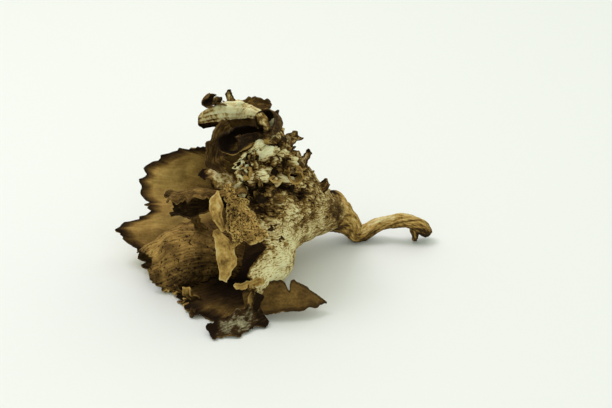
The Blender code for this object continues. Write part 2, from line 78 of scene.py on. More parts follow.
# %% The ribs of the bell
RIBS = (
    (0, 7.3, 15.8, -16, 20.9, -9, 23, -1, 7.5, 190),
    (8, 7.3, 15.6, -16, 20.5, -9, 22, 1, 6.5, 160),
    (15, 7.6, 15.5, -16, 20, -9, 20.5, 1.5, 4, 120),
    (24, 7.6, 15, -16, 18, -11, 18.5, -4, 3, 60),
    (36, 7.6, 14, -17, 16.5, -13, 17, -10, 2, 40),
    (50, 7.6, 14, -17, 15.8, -14.5, 16.1, -13, 1, 0),
    (66, 7.6, 14, -17, 16.3, -14, 16.8, -12.6, 1, -20),
    (78, 7.6, 14, -17, 17.4, -12.8, 19, -9.2, 1, -30),
    (87, 7.6, 14, -17, 18.6, -11, 21.6, -4.8, 1.5, -40),
    (95, 7.4, 14, -17, 19, -10.3, 23, -3, 1.5, -40),
    (103, 7.2, 14, -17, 18.8, -9.8, 23.4, -1.8, 1.5, -40),
    (111, 7, 13.8, -16, 18.2, -9.4, 22.1, -2.1, 1, -20),
    (117, 6.8, 13.5, -16, 17.5, -9, 20, -2.9, 1, 0),
    (126, 6.6, 13, -16, 16.8, -8, 20.4, 2.8, 1.5, -20),
    (131, 6.5, 12.5, -16, 16.6, -7, 20.2, 5.2, 1, 0),
    (142, 6.3, 12.3, -17, 16.8, -7.5, 19.4, 3.8, 1, 0),
    (155, 6, 12, -18, 17.4, -8.5, 19, 2.2, 1, 0),
    (172, 5.8, 11.2, -18, 16.4, -9, 18.5, 0.2, 1, 0),
    (190, 5.6, 10, -19.5, 15.5, -10, 18.5, 0, 1, 0),
    (209, 5.5, 9, -20.5, 16, -12.5, 21, 0, 1, 0),
    (224, 5.5, 8.5, -21, 16.5, -15, 24, -3, 1, 0),
    (235, 5.5, 8.5, -21.5, 16.3, -16, 22, -7.5, 1, 0),
    (248, 5.6, 8.8, -21, 15, -14.8, 17.6, -6.6, 1, 0),
    (262, 5.8, 9.8, -20, 14, -13, 15.4, -9.6, 1, 0),
    (280, 6.2, 11, -18, 14.5, -10, 15, -4, 1, 0),
    (292, 6.8, 13, -17, 16.5, -9, 14.5, -2.5, 1, 20),
    (302, 7.2, 15, -16, 18, -8, 15, -1, 1, 20),
    (314, 7.4, 15, -16, 18.8, -8, 17, 0.4, 1, 20),
    (326, 7.6, 15.3, -16, 19.8, -9, 19.2, -0.6, 1, 20),
    (338, 7.3, 15.5, -16, 20.6, -10, 20.8, -7.6, 1, 40),
    (350, 7.3, 15.9, -16, 21.2, -9.5, 22.4, -5, 4.5, 140),
)
NECK = -27
THROAT = (3.6, -33.5)
ROLL_LEAST = 2.2
GATHER = 1.3
print(len(RIBS), "ribs")

# %% [markdown]
# Small helpers draw the curves. One runs a smooth curve through a few points, one closes it
# round the mouth, and one rolls the end of a rib on along an arc.

# %% Curves


def curve_through(points, places):
    """Catmull-Rom curve through points, read at places counted in points."""
    points = np.asarray(points, float)
    last = len(points) - 1
    padded = np.vstack([2 * points[0] - points[1], points, 2 * points[-1] - points[-2]])
    start = np.clip(np.floor(places).astype(int), 0, last - 1)
    t = (places - start)[:, None]
    a, b, c, d = (padded[start + k] for k in range(4))
    return 0.5 * (2 * b + (c - a) * t + (2 * a - 5 * b + 4 * c - d) * t**2
                  + (3 * b - a - 3 * c + d) * t**3)


def summed(steps):
    """The running sum of steps, from 0."""
    return np.concatenate([[0], np.cumsum(steps)])


def stepped(points, count):
    """count points along the curve through points, closest together at its end."""
    dense = curve_through(points, np.linspace(0, len(points) - 1, 60 * len(points)))
    length = summed(np.linalg.norm(np.diff(dense, axis=0), axis=1))
    at = length[-1] * (1 - (1 - np.linspace(0, 1, count)) ** GATHER)
    return np.array([np.interp(at, length, column) for column in dense.T]).T


def round_the_mouth(angles, values, at):
    """Closed curve through the ribs' values, read at angles in degrees."""
    span = (np.roll(angles, -1) - np.roll(angles, 1)) % 360
    slope = (np.roll(values, -1, 0) - np.roll(values, 1, 0)) / span[:, None]
    here = (np.searchsorted(angles, at % 360, side="right") - 1) % len(angles)
    after = (here + 1) % len(angles)
    gap = (angles[after] - angles[here]) % 360
    t = (((at - angles[here]) % 360) / gap)[:, None]
    gap = gap[:, None]
    return ((2 * t**3 - 3 * t**2 + 1) * values[here] + (t**3 - 2 * t**2 + t) * gap * slope[here]
            + (3 * t**2 - 2 * t**3) * values[after] + (t**3 - t**2) * gap * slope[after])


def rolled_on(profile, length, turn, steps):
    """The profile, carried on past its end along an arc."""
    heading = math.atan2(*(profile[-1] - profile[-4]))
    points = [profile[-1]]
    for _ in range(steps):
        heading -= math.radians(turn) / steps
        step = max(length, ROLL_LEAST) / steps
        points.append(points[-1] + step * np.array((math.sin(heading), math.cos(heading))))
    return np.vstack([profile, points[1:]])


# %% [markdown]
# Dried flesh is crumpled at every scale, from wide folds down to a felt of fibres. Each scale
# is a field of noise, read at the points of a sheet. Ridged noise gives sharp crests and soft
# hollows, as shrunken skin has.

# %% Fields of noise
WARP_WIDE, WARP_WIDE_SPAN = 1.0, 9.0
WARP_FINE, WARP_FINE_SPAN = 0.45, 4.0
DRIFT_SHIFTS = ((9, 0, 0), (0, 17, 0), (0, 0, 25))


def waves(points, span, shift=0.0):
    """Smooth noise from about -1 to 1, with bumps about span wide."""
    places = (np.asarray(points).reshape(-1, 3) / span + shift).tolist()
    return np.array([noise.noise(Vector(place)) for place in places]).reshape(np.shape(points)[:-1])


def ridges(points, span, layers, shift=0.0):
    """Ridged noise from about 0 to 2.5, with crests about span apart."""
    places = (np.asarray(points).reshape(-1, 3) / span + shift).tolist()
    values = [noise.ridged_multi_fractal(Vector(place), 1.0, 2.1, layers, 0.9, 2.0) for place in places]
    return np.array(values).reshape(np.shape(points)[:-1])


def drift(points, span):
    """A push along X, Y and Z at each point."""
    return np.stack([waves(points, span, shift) for shift in DRIFT_SHIFTS], axis=-1)


def warped(grid):
    """The grid's points, moved a little, as drying moves flesh."""
    return grid + WARP_WIDE * drift(grid, WARP_WIDE_SPAN) + WARP_FINE * drift(grid, WARP_FINE_SPAN)


# %% [markdown]
# A sheet is a grid of points. Along its free edges the flesh has torn into teeth, and the strip
# beside the edge has curled as it dried. Both are drawn by moving a few rows of points: the
# edge moves most, and the rows behind it follow less and less.

# %% Torn edges
TOOTH_SPAN, SMALL_TOOTH_SPAN, SMALL_TEETH = 1.7, 0.6, 0.3
TOOTH_LEAST = -0.15
TEETH_REACH, CURL_REACH = 2.6, 3.5
CURL_SPAN, SMALL_CURL_SPAN, SMALL_CURLS = 2.6, 1.1, 0.5
TINY = 1e-9


def unit_rows(vectors):
    """The vectors, each made one long."""
    return vectors / np.maximum(np.linalg.norm(vectors, axis=-1, keepdims=True), TINY)


def grid_normals(grid):
    """Unit normals of a grid of points."""
    return unit_rows(np.cross(np.gradient(grid, axis=0), np.gradient(grid, axis=1)))


def pushed(grid, amounts, normals):
    """The grid's points, each moved along its normal by its amount."""
    return grid + amounts[:, :, None] * normals


def keep_above(grid, height):
    """Lifts the points that lie lower than height up to it."""
    grid[..., 2] = np.maximum(grid[..., 2], height)


def from_edge(grid):
    """How far each point lies from the last line of its grid."""
    steps = np.linalg.norm(np.diff(grid, axis=1), axis=2)
    behind = np.cumsum(steps[:, ::-1], axis=1)[:, ::-1]
    return np.concatenate([behind, np.zeros((len(grid), 1))], axis=1)


def frayed(grid, teeth, curl):
    """The grid with its last line torn and the strip beside it curled."""
    away = from_edge(grid)
    edge = grid[:, -1]
    outwards = unit_rows(edge - grid[:, -4])
    big = np.maximum(waves(edge, TOOTH_SPAN, (0, 0, 31)), TOOTH_LEAST)
    small = waves(edge, SMALL_TOOTH_SPAN, (5, 0, 0))
    reach = np.clip(1 - away / TEETH_REACH, 0, 1)[:, :, None]
    grown = grid + reach * (teeth * (big + SMALL_TEETH * small))[:, None, None] * outwards[:, None, :]
    bent = np.clip(1 - away / CURL_REACH, 0, 1)[:, :, None] ** 2
    lift = waves(edge, CURL_SPAN, (0, 7, 0)) + SMALL_CURLS * waves(edge, SMALL_CURL_SPAN, (0, 3, 0))
    return grown + bent * (curl * lift)[:, None, None] * grid_normals(grid)


def frayed_all_round(grid, teeth, curl):
    """The grid with both its sides and its tip torn. Its root stays whole."""
    grid = frayed(grid, teeth, curl)
    grid = frayed(grid[:, ::-1], teeth, curl)[:, ::-1]
    return frayed(grid.transpose(1, 0, 2), teeth, curl).transpose(1, 0, 2)


# %% [markdown]
# ## Finishes
# The flesh has a few finishes, all built the same way: one number says how light the flesh is
# at a point, and a colour ramp turns it into colour. Each finish turns the parts of the number
# up or down: fibres, flecks, patches and grain are noises, hollows and folds follow the
# relief and darken its low places, partly as dirt and partly as painted shade, dots and net are
# dark marks, rim changes the strip beside a torn edge, and tone adds the painted light and
# shade and the tone that each piece keeps.

# %% One finish of flesh
FLESH_ROUGHNESS, FLESH_SHINE = 0.9, 0.08
CREST_LIMIT = 0.45
BUMP_HEIGHT = 0.12


def node(tree, kind, settings=(), **inputs):
    """Adds a node, sets it up, and fills its inputs, by name or by _number."""
    made = tree.nodes.new(kind)
    for name, value in dict(settings).items():
        setattr(made, name, value)
    for name, value in inputs.items():
        socket = made.inputs[int(name[1:]) if name[0] == "_" else name]
        if isinstance(value, bpy.types.NodeSocket):
            tree.links.new(value, socket)
        else:
            socket.default_value = value
    return made


def flesh(name, places, colours, fibres=0.2, flecks=0.0, patches=0.3, hollows=0.2, folds=0.15, rim=0.4,
          edge=0.9, grain=0.25, dots=0.0, net=0.0, bias=0.5, bump=0.6, fibre_size=(3.2, 0.5)):
    """A finish whose colours run from its deepest hollows to its highest crests."""
    material = bpy.data.materials.new(name)
    material.use_nodes = True
    tree = material.node_tree
    shader = tree.nodes["Principled BSDF"]
    flat = node(tree, "ShaderNodeTexCoord")

    def maths(operation, first, second=0.0, third=0.0):
        made = node(tree, "ShaderNodeMath", {"operation": operation}, _0=first, _1=second, _2=third)
        return made.outputs[0]

    def kept(name):
        return node(tree, "ShaderNodeAttribute", {"attribute_name": name}).outputs["Fac"]

    def scaled(output, scale):
        return node(tree, "ShaderNodeMapping", Vector=flat.outputs[output], Scale=scale).outputs[0]

    in_mm = scaled("Object", (1000, 1000, 1000))

    def texture(scale, detail, roughness, places=in_mm, settings=(), **more):
        return node(tree, "ShaderNodeTexNoise", settings, Vector=places, Scale=scale, Detail=detail,
                    Roughness=roughness, **more).outputs["Fac"]

    def times_added(value, amount, light):
        return maths("MULTIPLY_ADD", value, amount, light)

    def off_middle(value):
        return maths("SUBTRACT", value, 0.5)

    def stretched(value, start, end, first, last):
        return node(tree, "ShaderNodeMapRange", _0=value, _1=start, _2=end, _3=first, _4=last).outputs[0]

    along = scaled("UV", (*fibre_size, 1))
    strands = texture(1.0, 4.0, 0.6, along, {"noise_dimensions": "2D"}, Distortion=0.25)
    clouds = texture(0.22, 5.0, 0.6)
    specks = texture(2.2, 4.0, 0.7)
    light = times_added(off_middle(strands), fibres * 2, bias)
    light = times_added(off_middle(clouds), patches * 2, light)
    light = times_added(off_middle(specks), grain * 2, light)
    # Hollows and folds: darker where the relief is low, partly as dirt and partly as painted shade.
    light = times_added(kept("height"), hollows, light)
    light = times_added(maths("MINIMUM", kept("crest"), CREST_LIMIT), folds, light)
    if flecks:
        strength = times_added(kept("calm"), -flecks, flecks)
        light = times_added(stretched(strands, 0.40, 0.47, -1.0, 0.0), strength, light)
    if dots:
        light = times_added(stretched(texture(1.7, 1.0, 0.5), 0.62, 0.68, 0.0, -1.0), dots, light)
    if net:
        off_line = maths("ABSOLUTE", off_middle(texture(1.5, 3.0, 0.55, Distortion=0.8)))
        light = times_added(stretched(off_line, 0.0, 0.05, -1.0, 0.0), net, light)
    # tone: the painted light and shade, and the tone, that each piece keeps.
    light = maths("ADD", kept("tone"), light)
    near_edge = stretched(kept("from_edge"), 0.0, edge, 1.0, 0.0)
    light = times_added(maths("MULTIPLY", near_edge, clouds), -2 * rim, light)
    ramp = node(tree, "ShaderNodeValToRGB", _0=light)
    while len(ramp.color_ramp.elements) < len(colours):
        ramp.color_ramp.elements.new(0.5)
    for element, place, colour in zip(ramp.color_ramp.elements, places, colours):
        element.position = place
        element.color = (*colour, 1)
    tree.links.new(ramp.outputs[0], shader.inputs["Base Color"])
    shader.inputs["Roughness"].default_value = FLESH_ROUGHNESS
    shader.inputs["Specular IOR Level"].default_value = FLESH_SHINE
    raised = times_added(specks, 0.6, strands)
    relief = node(tree, "ShaderNodeBump", Height=raised, Strength=bump, Distance=BUMP_HEIGHT * MM)
    tree.links.new(relief.outputs[0], shader.inputs["Normal"])
    return material


BLACK_BROWN = (0.012, 0.006, 0.002)
DARK_BROWN = (0.045, 0.024, 0.007)
BROWN = (0.13, 0.073, 0.019)
GOLD_BROWN = (0.29, 0.172, 0.045)
GOLD = (0.5, 0.325, 0.092)
ORANGE = (0.58, 0.37, 0.10)
SAND = (0.59, 0.47, 0.21)
GREY = (0.27, 0.245, 0.14)
CREAM = (0.75, 0.68, 0.37)
PALE = (0.83, 0.82, 0.52)
BROWNS = (BLACK_BROWN, DARK_BROWN, BROWN, GOLD_BROWN, GOLD, SAND)

outer_skin = flesh("outer_skin", (0, 0.14, 0.28, 0.42, 0.54, 0.72, 1),
                   (*BROWNS[:4], SAND, CREAM, PALE), fibres=0.25, flecks=0.2, patches=0.36, hollows=0.28,
                   folds=0.26, grain=0.34, bias=0.7, rim=0.15, fibre_size=(3.8, 0.8))
lining = flesh("lining", (0, 0.2, 0.4, 0.6, 0.82, 1), BROWNS, fibres=0.16, patches=0.25, hollows=0.1,
               rim=0.6, edge=3, grain=0.15, bias=0.62, bump=0.3, fibre_size=(3, 0.25))
hood_skin = flesh("hood_skin", (0, 0.2, 0.4, 0.6, 0.82, 1), BROWNS, fibres=0.34, patches=0.15,
                  hollows=0.1, rim=0.1, edge=1.5, grain=0.2, dots=0.4, bias=0.6, bump=0.4,
                  fibre_size=(2.6, 0.22))
torn_rim = flesh("torn_rim", (0, 0.35, 0.6, 0.8, 1), BROWNS[:5], patches=0.9, rim=0, bias=0.6)
lit_rim = flesh("lit_rim", (0, 0.35, 0.65, 1), (BROWN, GOLD_BROWN, ORANGE, SAND), patches=0.5, rim=0,
                bias=0.6)
netted_skin = flesh("netted_skin", (0, 0.2, 0.35, 0.52, 0.72, 1), BROWNS, fibres=0.15, grain=0.35,
                    bias=0.72, rim=-0.3, edge=0.45, net=0.75)
golden_skin = flesh("golden_skin", (0, 0.2, 0.38, 0.55, 0.78, 1), BROWNS, fibres=0.25, patches=0.5,
                    grain=0.3, bias=0.66, rim=-0.25, edge=0.4)
dark_skin = flesh("dark_skin", (0, 0.3, 0.55, 0.8, 1), BROWNS[:5], fibres=0.45, bias=0.56, rim=-0.15,
                  edge=0.4)
matt_skin = flesh("matt_skin", (0, 0.4, 0.8, 1), BROWNS[1:5], fibres=0.15, bias=0.5, rim=0.5, grain=0.4,
                  bump=0.3)
stem_skin = flesh("stem_skin", (0, 0.2, 0.36, 0.5, 0.68, 1), (*BROWNS[:5], CREAM), fibres=0.5,
                  patches=0.4, bias=0.64, rim=0)
grey_skin = flesh("grey_skin", (0, 0.3, 0.55, 1), (BLACK_BROWN, DARK_BROWN, GREY, PALE), fibres=0.3,
                  patches=0.4, folds=0.3, bias=0.62, rim=0.2)
FINISHES = dict(
    pale=(outer_skin, lining, torn_rim),
    outer=(outer_skin, outer_skin, torn_rim),
    hood=(outer_skin, hood_skin, torn_rim),
    netted=(outer_skin, netted_skin, lit_rim),
    golden=(golden_skin, golden_skin, lit_rim),
    orange=(golden_skin, lit_rim, lit_rim),
    dark=(dark_skin, dark_skin, torn_rim),
    matt=(matt_skin, matt_skin, torn_rim),
    grey=(grey_skin, grey_skin, torn_rim),
)

# %% [markdown]
# Every sheet becomes a mesh in the same way. The points of a grid primitive are moved to the
# sheet, and a Solidify modifier gives it a wall, thinner at the torn edge, with one material
# for each face and one for the rim. Its UV map holds the flat sheet in millimetres, so that
# fibres can run along the flesh.

# %% From a grid of points to a piece of flesh
SEWN_WITHIN = 1e-7
FULL_WALL_FROM = 3.0


def read(items, name, width=1, kind=float):
    """What a mesh's points, corners or faces keep under that name."""
    flat = np.zeros(len(items) * width, kind)
    items.foreach_get(name, flat)
    return flat.reshape(-1, width) if width > 1 else flat


def grid_primitive(name, grid, fibres_down=False):
    """A grid primitive moved to grid. Fibres run along its columns, or down its rows."""
    rows, columns = grid.shape[:2]
    bpy.ops.mesh.primitive_grid_add(x_subdivisions=rows - 1, y_subdivisions=columns - 1, size=1)
    piece = bpy.context.object
    piece.name = piece.data.name = name
    mesh = piece.data
    place = read(mesh.vertices, "co", 3)
    row = np.rint((place[:, 0] + 0.5) * (rows - 1)).astype(int)
    column = np.rint((place[:, 1] + 0.5) * (columns - 1)).astype(int)
    mesh.vertices.foreach_set("co", (grid[row, column] * MM).ravel())
    down = summed(np.linalg.norm(np.diff(grid, axis=0), axis=2).mean(axis=1))
    over = summed(np.linalg.norm(np.diff(grid, axis=1), axis=2).mean(axis=0))
    both = [over[column], down[row]] if fibres_down else [down[row], over[column]]
    corner = read(mesh.loops, "vertex_index", kind=int)
    mesh.uv_layers[0].data.foreach_set("uv", np.stack(both, axis=1)[corner].ravel())
    return piece, row, column


def write_values(piece, name, values):
    """Keeps one number for each point of the piece."""
    layer = piece.data.attributes.new(name, "FLOAT", "POINT")
    layer.data.foreach_set("value", np.asarray(values, float))


def values_of(piece, name):
    """The numbers that write_values kept."""
    return read(piece.data.attributes[name].data, "value")


def points_of(piece):
    """The piece's points in millimetres."""
    return read(piece.data.vertices, "co", 3) / MM


def sew(piece, outwards=False):
    """Joins points that lie on each other."""
    bpy.ops.object.mode_set(mode="EDIT")
    bpy.ops.mesh.select_all(action="SELECT")
    bpy.ops.mesh.remove_doubles(threshold=SEWN_WITHIN)
    if outwards:
        bpy.ops.mesh.normals_make_consistent(inside=False)
    bpy.ops.object.mode_set(mode="OBJECT")


def opened(piece):
    """Takes away the points where there is a hole."""
    holes = values_of(piece, "hole")
    edited = bmesh.new()
    edited.from_mesh(piece.data)
    gone = [point for point, hole in zip(edited.verts, holes) if hole > 0.5]
    bmesh.ops.delete(edited, geom=gone, context="VERTS")
    edited.to_mesh(piece.data)
    edited.free()


def walled(name, skins, grid, wall, edge_wall, away, crest, closed=False, more=()):
    """A piece of flesh: grid with a wall, thinner at its edge.

    away is how far each point lies from the edge, and crest how high it stands in the folds."""
    piece, row, column = grid_primitive(name, grid, fibres_down=not closed)
    for key, values in {"from_edge": away, "crest": crest, **dict(more)}.items():
        write_values(piece, key, values[row, column])
    if closed:
        sew(piece)
    if "hole" in more:
        opened(piece)
    for skin in skins:
        piece.data.materials.append(skin)
    thin = piece.vertex_groups.new(name="wall")
    for index, share in enumerate(np.clip(values_of(piece, "from_edge") / FULL_WALL_FROM, 0, 1)):
        thin.add([index], float(share), "REPLACE")
    thicken = piece.modifiers.new("wall", "SOLIDIFY")
    thicken.thickness = wall * MM
    thicken.offset = 0
    thicken.vertex_group = "wall"
    thicken.thickness_vertex_group = edge_wall / wall
    thicken.material_offset = 1
    thicken.material_offset_rim = 2
    bpy.context.view_layer.objects.active = piece
    bpy.ops.object.modifier_apply(modifier="wall")
    bpy.ops.object.shade_smooth()
    return piece


# %% [markdown]
# The outer face of the flesh is a felt of fibres that run from the stem to the margin, torn
# open into pits. The inner one is smooth with fine lines. So each face gets relief of its own
# along its normals, and the height is kept for the material, which darkens the hollows, partly
# as dirt and partly as painted shade.

# %% Relief on the two faces
FIBRE_WIDE, FIBRE_LONG = 0.45, 2.4
LINE_WIDE, LINE_LONG = 0.35, 4.0
LUMP_SPAN, PIT_SPAN, SWELL_SPAN = 1.9, 0.45, 2.4
CALM_AT_EDGE, CALM_WITHIN = 0.35, 1.2
LOWEST = 0.02


def outer_and_flat(mesh):
    """Which points are on the outer face, and the flat place of each."""
    corner = read(mesh.loops, "vertex_index", kind=int)
    slots = read(mesh.polygons, "material_index", kind=int)
    of_corner = np.repeat(slots, read(mesh.polygons, "loop_total", kind=int))
    outer = np.zeros(len(mesh.vertices), bool)
    outer[corner[of_corner == 0]] = True
    flat = np.zeros((len(mesh.vertices), 2))
    flat[corner] = read(mesh.uv_layers[0].data, "uv", 2)
    return outer, flat


def relieved(piece, outer_height, inner_height, rough, outer_tone_and_light=0.0, inner_tone_and_light=0.0):
    """Raises both faces in relief, and keeps height and tone: painted light and shade, and tone."""
    points = points_of(piece)
    outer, flat = outer_and_flat(piece.data)

    def along_the_flesh(wide, long):
        return np.stack([flat[:, 0] / wide, flat[:, 1] / long, points[:, 2] * 0.1], axis=1)

    fibres = ridges(along_the_flesh(FIBRE_WIDE, FIBRE_LONG), 1.0, 3)
    lumps = ridges(points, LUMP_SPAN, 4)
    pits = waves(points, PIT_SPAN)
    felt = 0.55 * (fibres - 1.1) + rough * (lumps - 1.2) + 0.35 * pits
    lines = waves(along_the_flesh(LINE_WIDE, LINE_LONG), 1.0)
    smooth = 0.6 * lines + 0.8 * waves(points, SWELL_SPAN, 11.0) + 0.3 * pits
    height = np.where(outer, outer_height * felt, inner_height * smooth)
    calm = np.clip(CALM_AT_EDGE + values_of(piece, "from_edge") / CALM_WITHIN, 0, 1)
    points = points + (height * calm)[:, None] * read(piece.data.vertices, "normal", 3)
    keep_above(points, LOWEST)
    piece.data.vertices.foreach_set("co", (points * MM).ravel())
    piece.data.update()
    write_values(piece, "height", np.where(outer, felt, smooth))
    write_values(piece, "tone", np.where(outer, outer_tone_and_light, inner_tone_and_light))
    return piece


# %% [markdown]
# The bell is the large piece. Its columns stand closest together on the near side, where the
# camera looks. It gets the same folds as the solid, then finer crumples. High on its near wall
# the flesh has collapsed into pleats with small cracks across them, and the cracks and crevices
# are painted darker, as painted shade and partly as dirt. The roll along the top
# sags and is tilted, and beside it the margin is so thin that holes have opened, as in lace.
# Patches of painted light and shade, and of tone, lie on both faces.

# %% The bell
BELL_COLUMNS, BELL_ROWS, ROLL_ROWS = 420, 92, 18
ROLL_SHARE = 14 / 18
SEAM_ANGLE, NEAR_ANGLE, ANGLE_SQUEEZE = 160.0, 310.0, 30.0
CRUMPLE_SPAN, CRUMPLE_MIDDLE = 5.0, 1.2
CRUMPLE_SOFT, CRUMPLE_ROUGH = 0.35, 1.3
FOLDED_ANGLE, FOLDED_HALF = 330.0, 42.0
BELL_WALL, BELL_EDGE_WALL = 0.75, 0.35
BELL_TEETH, BELL_CURL = 2.6, 0.9
SETTLED = 0.36
FOLDS_START, FOLDS_END, FOLDS_FADE = 0.15, 0.9, 0.25
CREASE_STEPS, CREASE_WANDER, CREASE_WAVES = 24, 1.5, 9
FINE_SPAN, FINE_SOFT, FINE_ADDED = 2.0, 0.1, 0.6
PLEAT_SPAN, PLEAT_WIDTH, PLEAT_WANDER, PLEAT_WANDER_SPAN = 1.8, 0.3, 0.8, 3.0
CRACK_SPAN, CRACK_WIDTH = 1.1, 0.24
PLEATS, CRACKS = 1.3, 0.6
PLEATS_ROUND, PLEATS_ALONG = 0.3, 16
# The last two darken the cracks and crevices: painted shade, and partly dirt.
CRACK_DEPTH, CRACK_SHADE_AND_DIRT, CREVICE_SHADE_AND_DIRT = 0.35, 1.1, 1.1
TOP_ROLL = (4, 24, 0.7, 0.08)
ROLL_GROOVES, ROLL_GROOVE_TONE, ROLL_CALM = 0.4, 1.3, 0.7
GROOVE_TURN, GROOVES_ALONG = 14, 60
ROLL_TILT, ROLL_DROP, ROLL_TILT_REACH = 1.7, 0.9, 14
LACE = (316, 11, 0.70, 0.06)
LACE_SPAN, LACE_OPEN, LACE_EDGE = 0.8, 0.32, 0.5
WHOLE_ANGLE, WHOLE_REACH, WHOLE_SHARE = 10, 30, 0.9
CREASES = (
    (326, 0.68, 306, 0.52, 1.4, 1.9),
    (316, 0.6, 300, 0.5, 1.2, 1.6),
    (345, 0.52, 320, 0.38, 1, 1.6),
    (300, 0.76, 294, 0.6, 1, 1.5),
)
CREVICES = (
    (352, 0.72, 330, 0.5, 1, 0.8),
    (340, 0.74, 322, 0.58, 1.1, 0.7),
    (330, 0.6, 312, 0.42, 0.9, 0.7),
    (322, 0.74, 308, 0.66, 0.9, 0.6),
    (312, 0.72, 300, 0.64, 0.9, 0.6),
    (318, 0.5, 300, 0.4, 0.7, 0.7),
    (308, 0.6, 296, 0.52, 0.8, 0.6),
    (338, 0.46, 326, 0.34, 0.7, 0.7),
    (325, 0.77, 313, 0.42, 1.5, 0.6),
    (303, 0.66, 306, 0.36, 1.5, 0.8),
    (306, 0.82, 300, 0.7, 1.2, 0.7),
    (330, 0.75, 324, 0.44, -1.4, 1.1),
    (309, 0.66, 311, 0.38, -1.6, 1),
    (318, 0.74, 308, 0.7, -1, 0.9),
    (352, 0.6, 340, 0.42, -1, 1),
)
# Patches on the outer face, as angle, share, width round, length along and how much lighter: painted light
# on the lower wall, the lace and two patches of the near wall, painted shade in two narrow folds of the
# near wall, lighter on the top roll, and darker at its left end and near the neck.
OUTER_TONE_LIGHT_AND_SHADE = (
    (352, 0.9, 14, 0.2, 0.3),
    (24, 0.9, 16, 0.25, -0.45),
    (316, 0.84, 11, 0.15, 0.65),
    (324, 0.6, 24, 0.22, 0.2),
    (250, 0.62, 22, 0.25, 0.26),
    (292, 0.48, 20, 0.12, 0.14),
    (300, 0.76, 8, 0.06, -0.4),
    (290, 0.62, 5, 0.05, -0.3),
    (300, 0.05, 60, 0.08, -0.2),
)
# Patches on the inner face: painted shade deep in the throat all round and on the floor of the mouth,
# painted light on the middles of the far lobes, and darker at the top and on the upper far side.
INNER_TONE_LIGHT_AND_SHADE = (
    (200, 0.5, 30, 0.15, -0.4),
    (200, 0.3, 300, 0.2, -0.5),
    (205, 0.75, 35, 0.25, -0.25),
    (0, 0.7, 25, 0.2, -0.3),
    (97, 0.62, 16, 0.18, 0.3),
    (122, 0.5, 10, 0.25, 0.3),
    (60, 0.6, 25, 0.3, -0.2),
)


def tone_light_and_shade(tones, angles, shares):
    """How much lighter each point is, from patches on the bell: painted light and shade, and tone."""
    tone = np.zeros((len(angles), len(shares)))
    for angle, share, wide, long, amount in tones:
        round_it = np.exp(-(angle_between(angles, angle) / wide) ** 2)
        along_it = np.exp(-((shares - share) / long) ** 2)
        tone += amount * round_it[:, None] * along_it[None, :]
    return tone


def angle_between(angles, angle):
    """How many degrees lie between each of the angles and angle."""
    return np.abs((angles - angle + 180) % 360 - 180)


def bell_angles():
    """Angles round the mouth, closer together near NEAR_ANGLE."""
    even = np.linspace(0, 360, BELL_COLUMNS + 1)
    near = NEAR_ANGLE - SEAM_ANGLE
    squeezed = SEAM_ANGLE + even - ANGLE_SQUEEZE * np.sin(np.radians(even - near))
    return squeezed - ANGLE_SQUEEZE * math.sin(math.radians(near))


def bell_sheet(angles):
    """Middle of the bell's wall: columns round the mouth by rows from the neck."""
    table = np.array(RIBS, float)
    ribs = round_the_mouth(table[:, 0], table[:, 1:], angles)
    columns = []
    for angle, rib in zip(np.radians(angles), ribs):
        points = [THROAT, (rib[0], NECK), *rib[1:7].reshape(3, 2)]
        profile = rolled_on(stepped(points, BELL_ROWS), rib[7], rib[8], ROLL_ROWS)
        outwards = math.cos(angle) * TOP + math.sin(angle) * FAR_SIDE
        columns.append(MOUTH_CENTRE + profile[:, :1] * outwards + profile[:, 1:] * AXIS)
    return np.array(columns)


def bell_shares():
    """How far along the bell each row lies, from 0 to 1."""
    rolled = np.linspace(ROLL_SHARE, 1, ROLL_ROWS + 1)
    return np.concatenate([np.linspace(0, ROLL_SHARE, BELL_ROWS), rolled[1:]])


def folded_zone(angles, shares):
    """1 where the bell's wall has collapsed into folds, and 0 away from there."""
    away = angle_between(angles, FOLDED_ANGLE) / FOLDED_HALF
    rising = np.clip((shares - FOLDS_START) / FOLDS_FADE, 0, 1)
    falling = np.clip((FOLDS_END - shares) / FOLDS_FADE, 0, 1)
    return np.clip(1.5 - away, 0, 1)[:, None] * (rising * falling)[None, :]


def margin_zone(angles, shares, angle, reach, start, rise):
    """1 along the margin round an angle, and 0 away from there."""
    round_it = np.exp(-(angle_between(angles, angle) / reach) ** 4)
    return round_it[:, None] * np.clip((shares - start) / rise, 0, 1)[None, :]


def flat_places(across, along):
    """Places on a flat sheet, where columns across meet rows along."""
    return np.stack(np.broadcast_arrays(across[:, None], along[None, :], 0.0), axis=-1)


def thin_lines(points, span, shift, width):
    """1 on winding lines about span apart, and 0 away from them."""
    return np.clip(1 - np.abs(waves(points, span, shift)) / width, 0, 1)


def pressed(grid, angles, shares, creases, normals):
    """The grid pressed in along creases, and how deep at each point."""
    depth_at = np.zeros(grid.shape[:2])
    for from_angle, from_share, to_angle, to_share, depth, width in creases:
        steps = np.linspace(0, 1, CREASE_STEPS)[:, None]
        wander = CREASE_WANDER * np.sin(CREASE_WAVES * steps[:, 0] + from_angle)
        line = (1 - steps) * (from_angle, from_share) + steps * (to_angle, to_share)
        away = np.full(grid.shape[:2], np.inf)
        for (angle, share), aside in zip(line, wander):
            column = angle_between(angles, angle + aside).argmin()
            point = grid[column, np.abs(shares - share).argmin()]
            away = np.minimum(away, np.linalg.norm(grid - point, axis=2))
        depth_at += depth * np.exp(-(away / width) ** 2)
    return pushed(grid, -depth_at, normals), depth_at


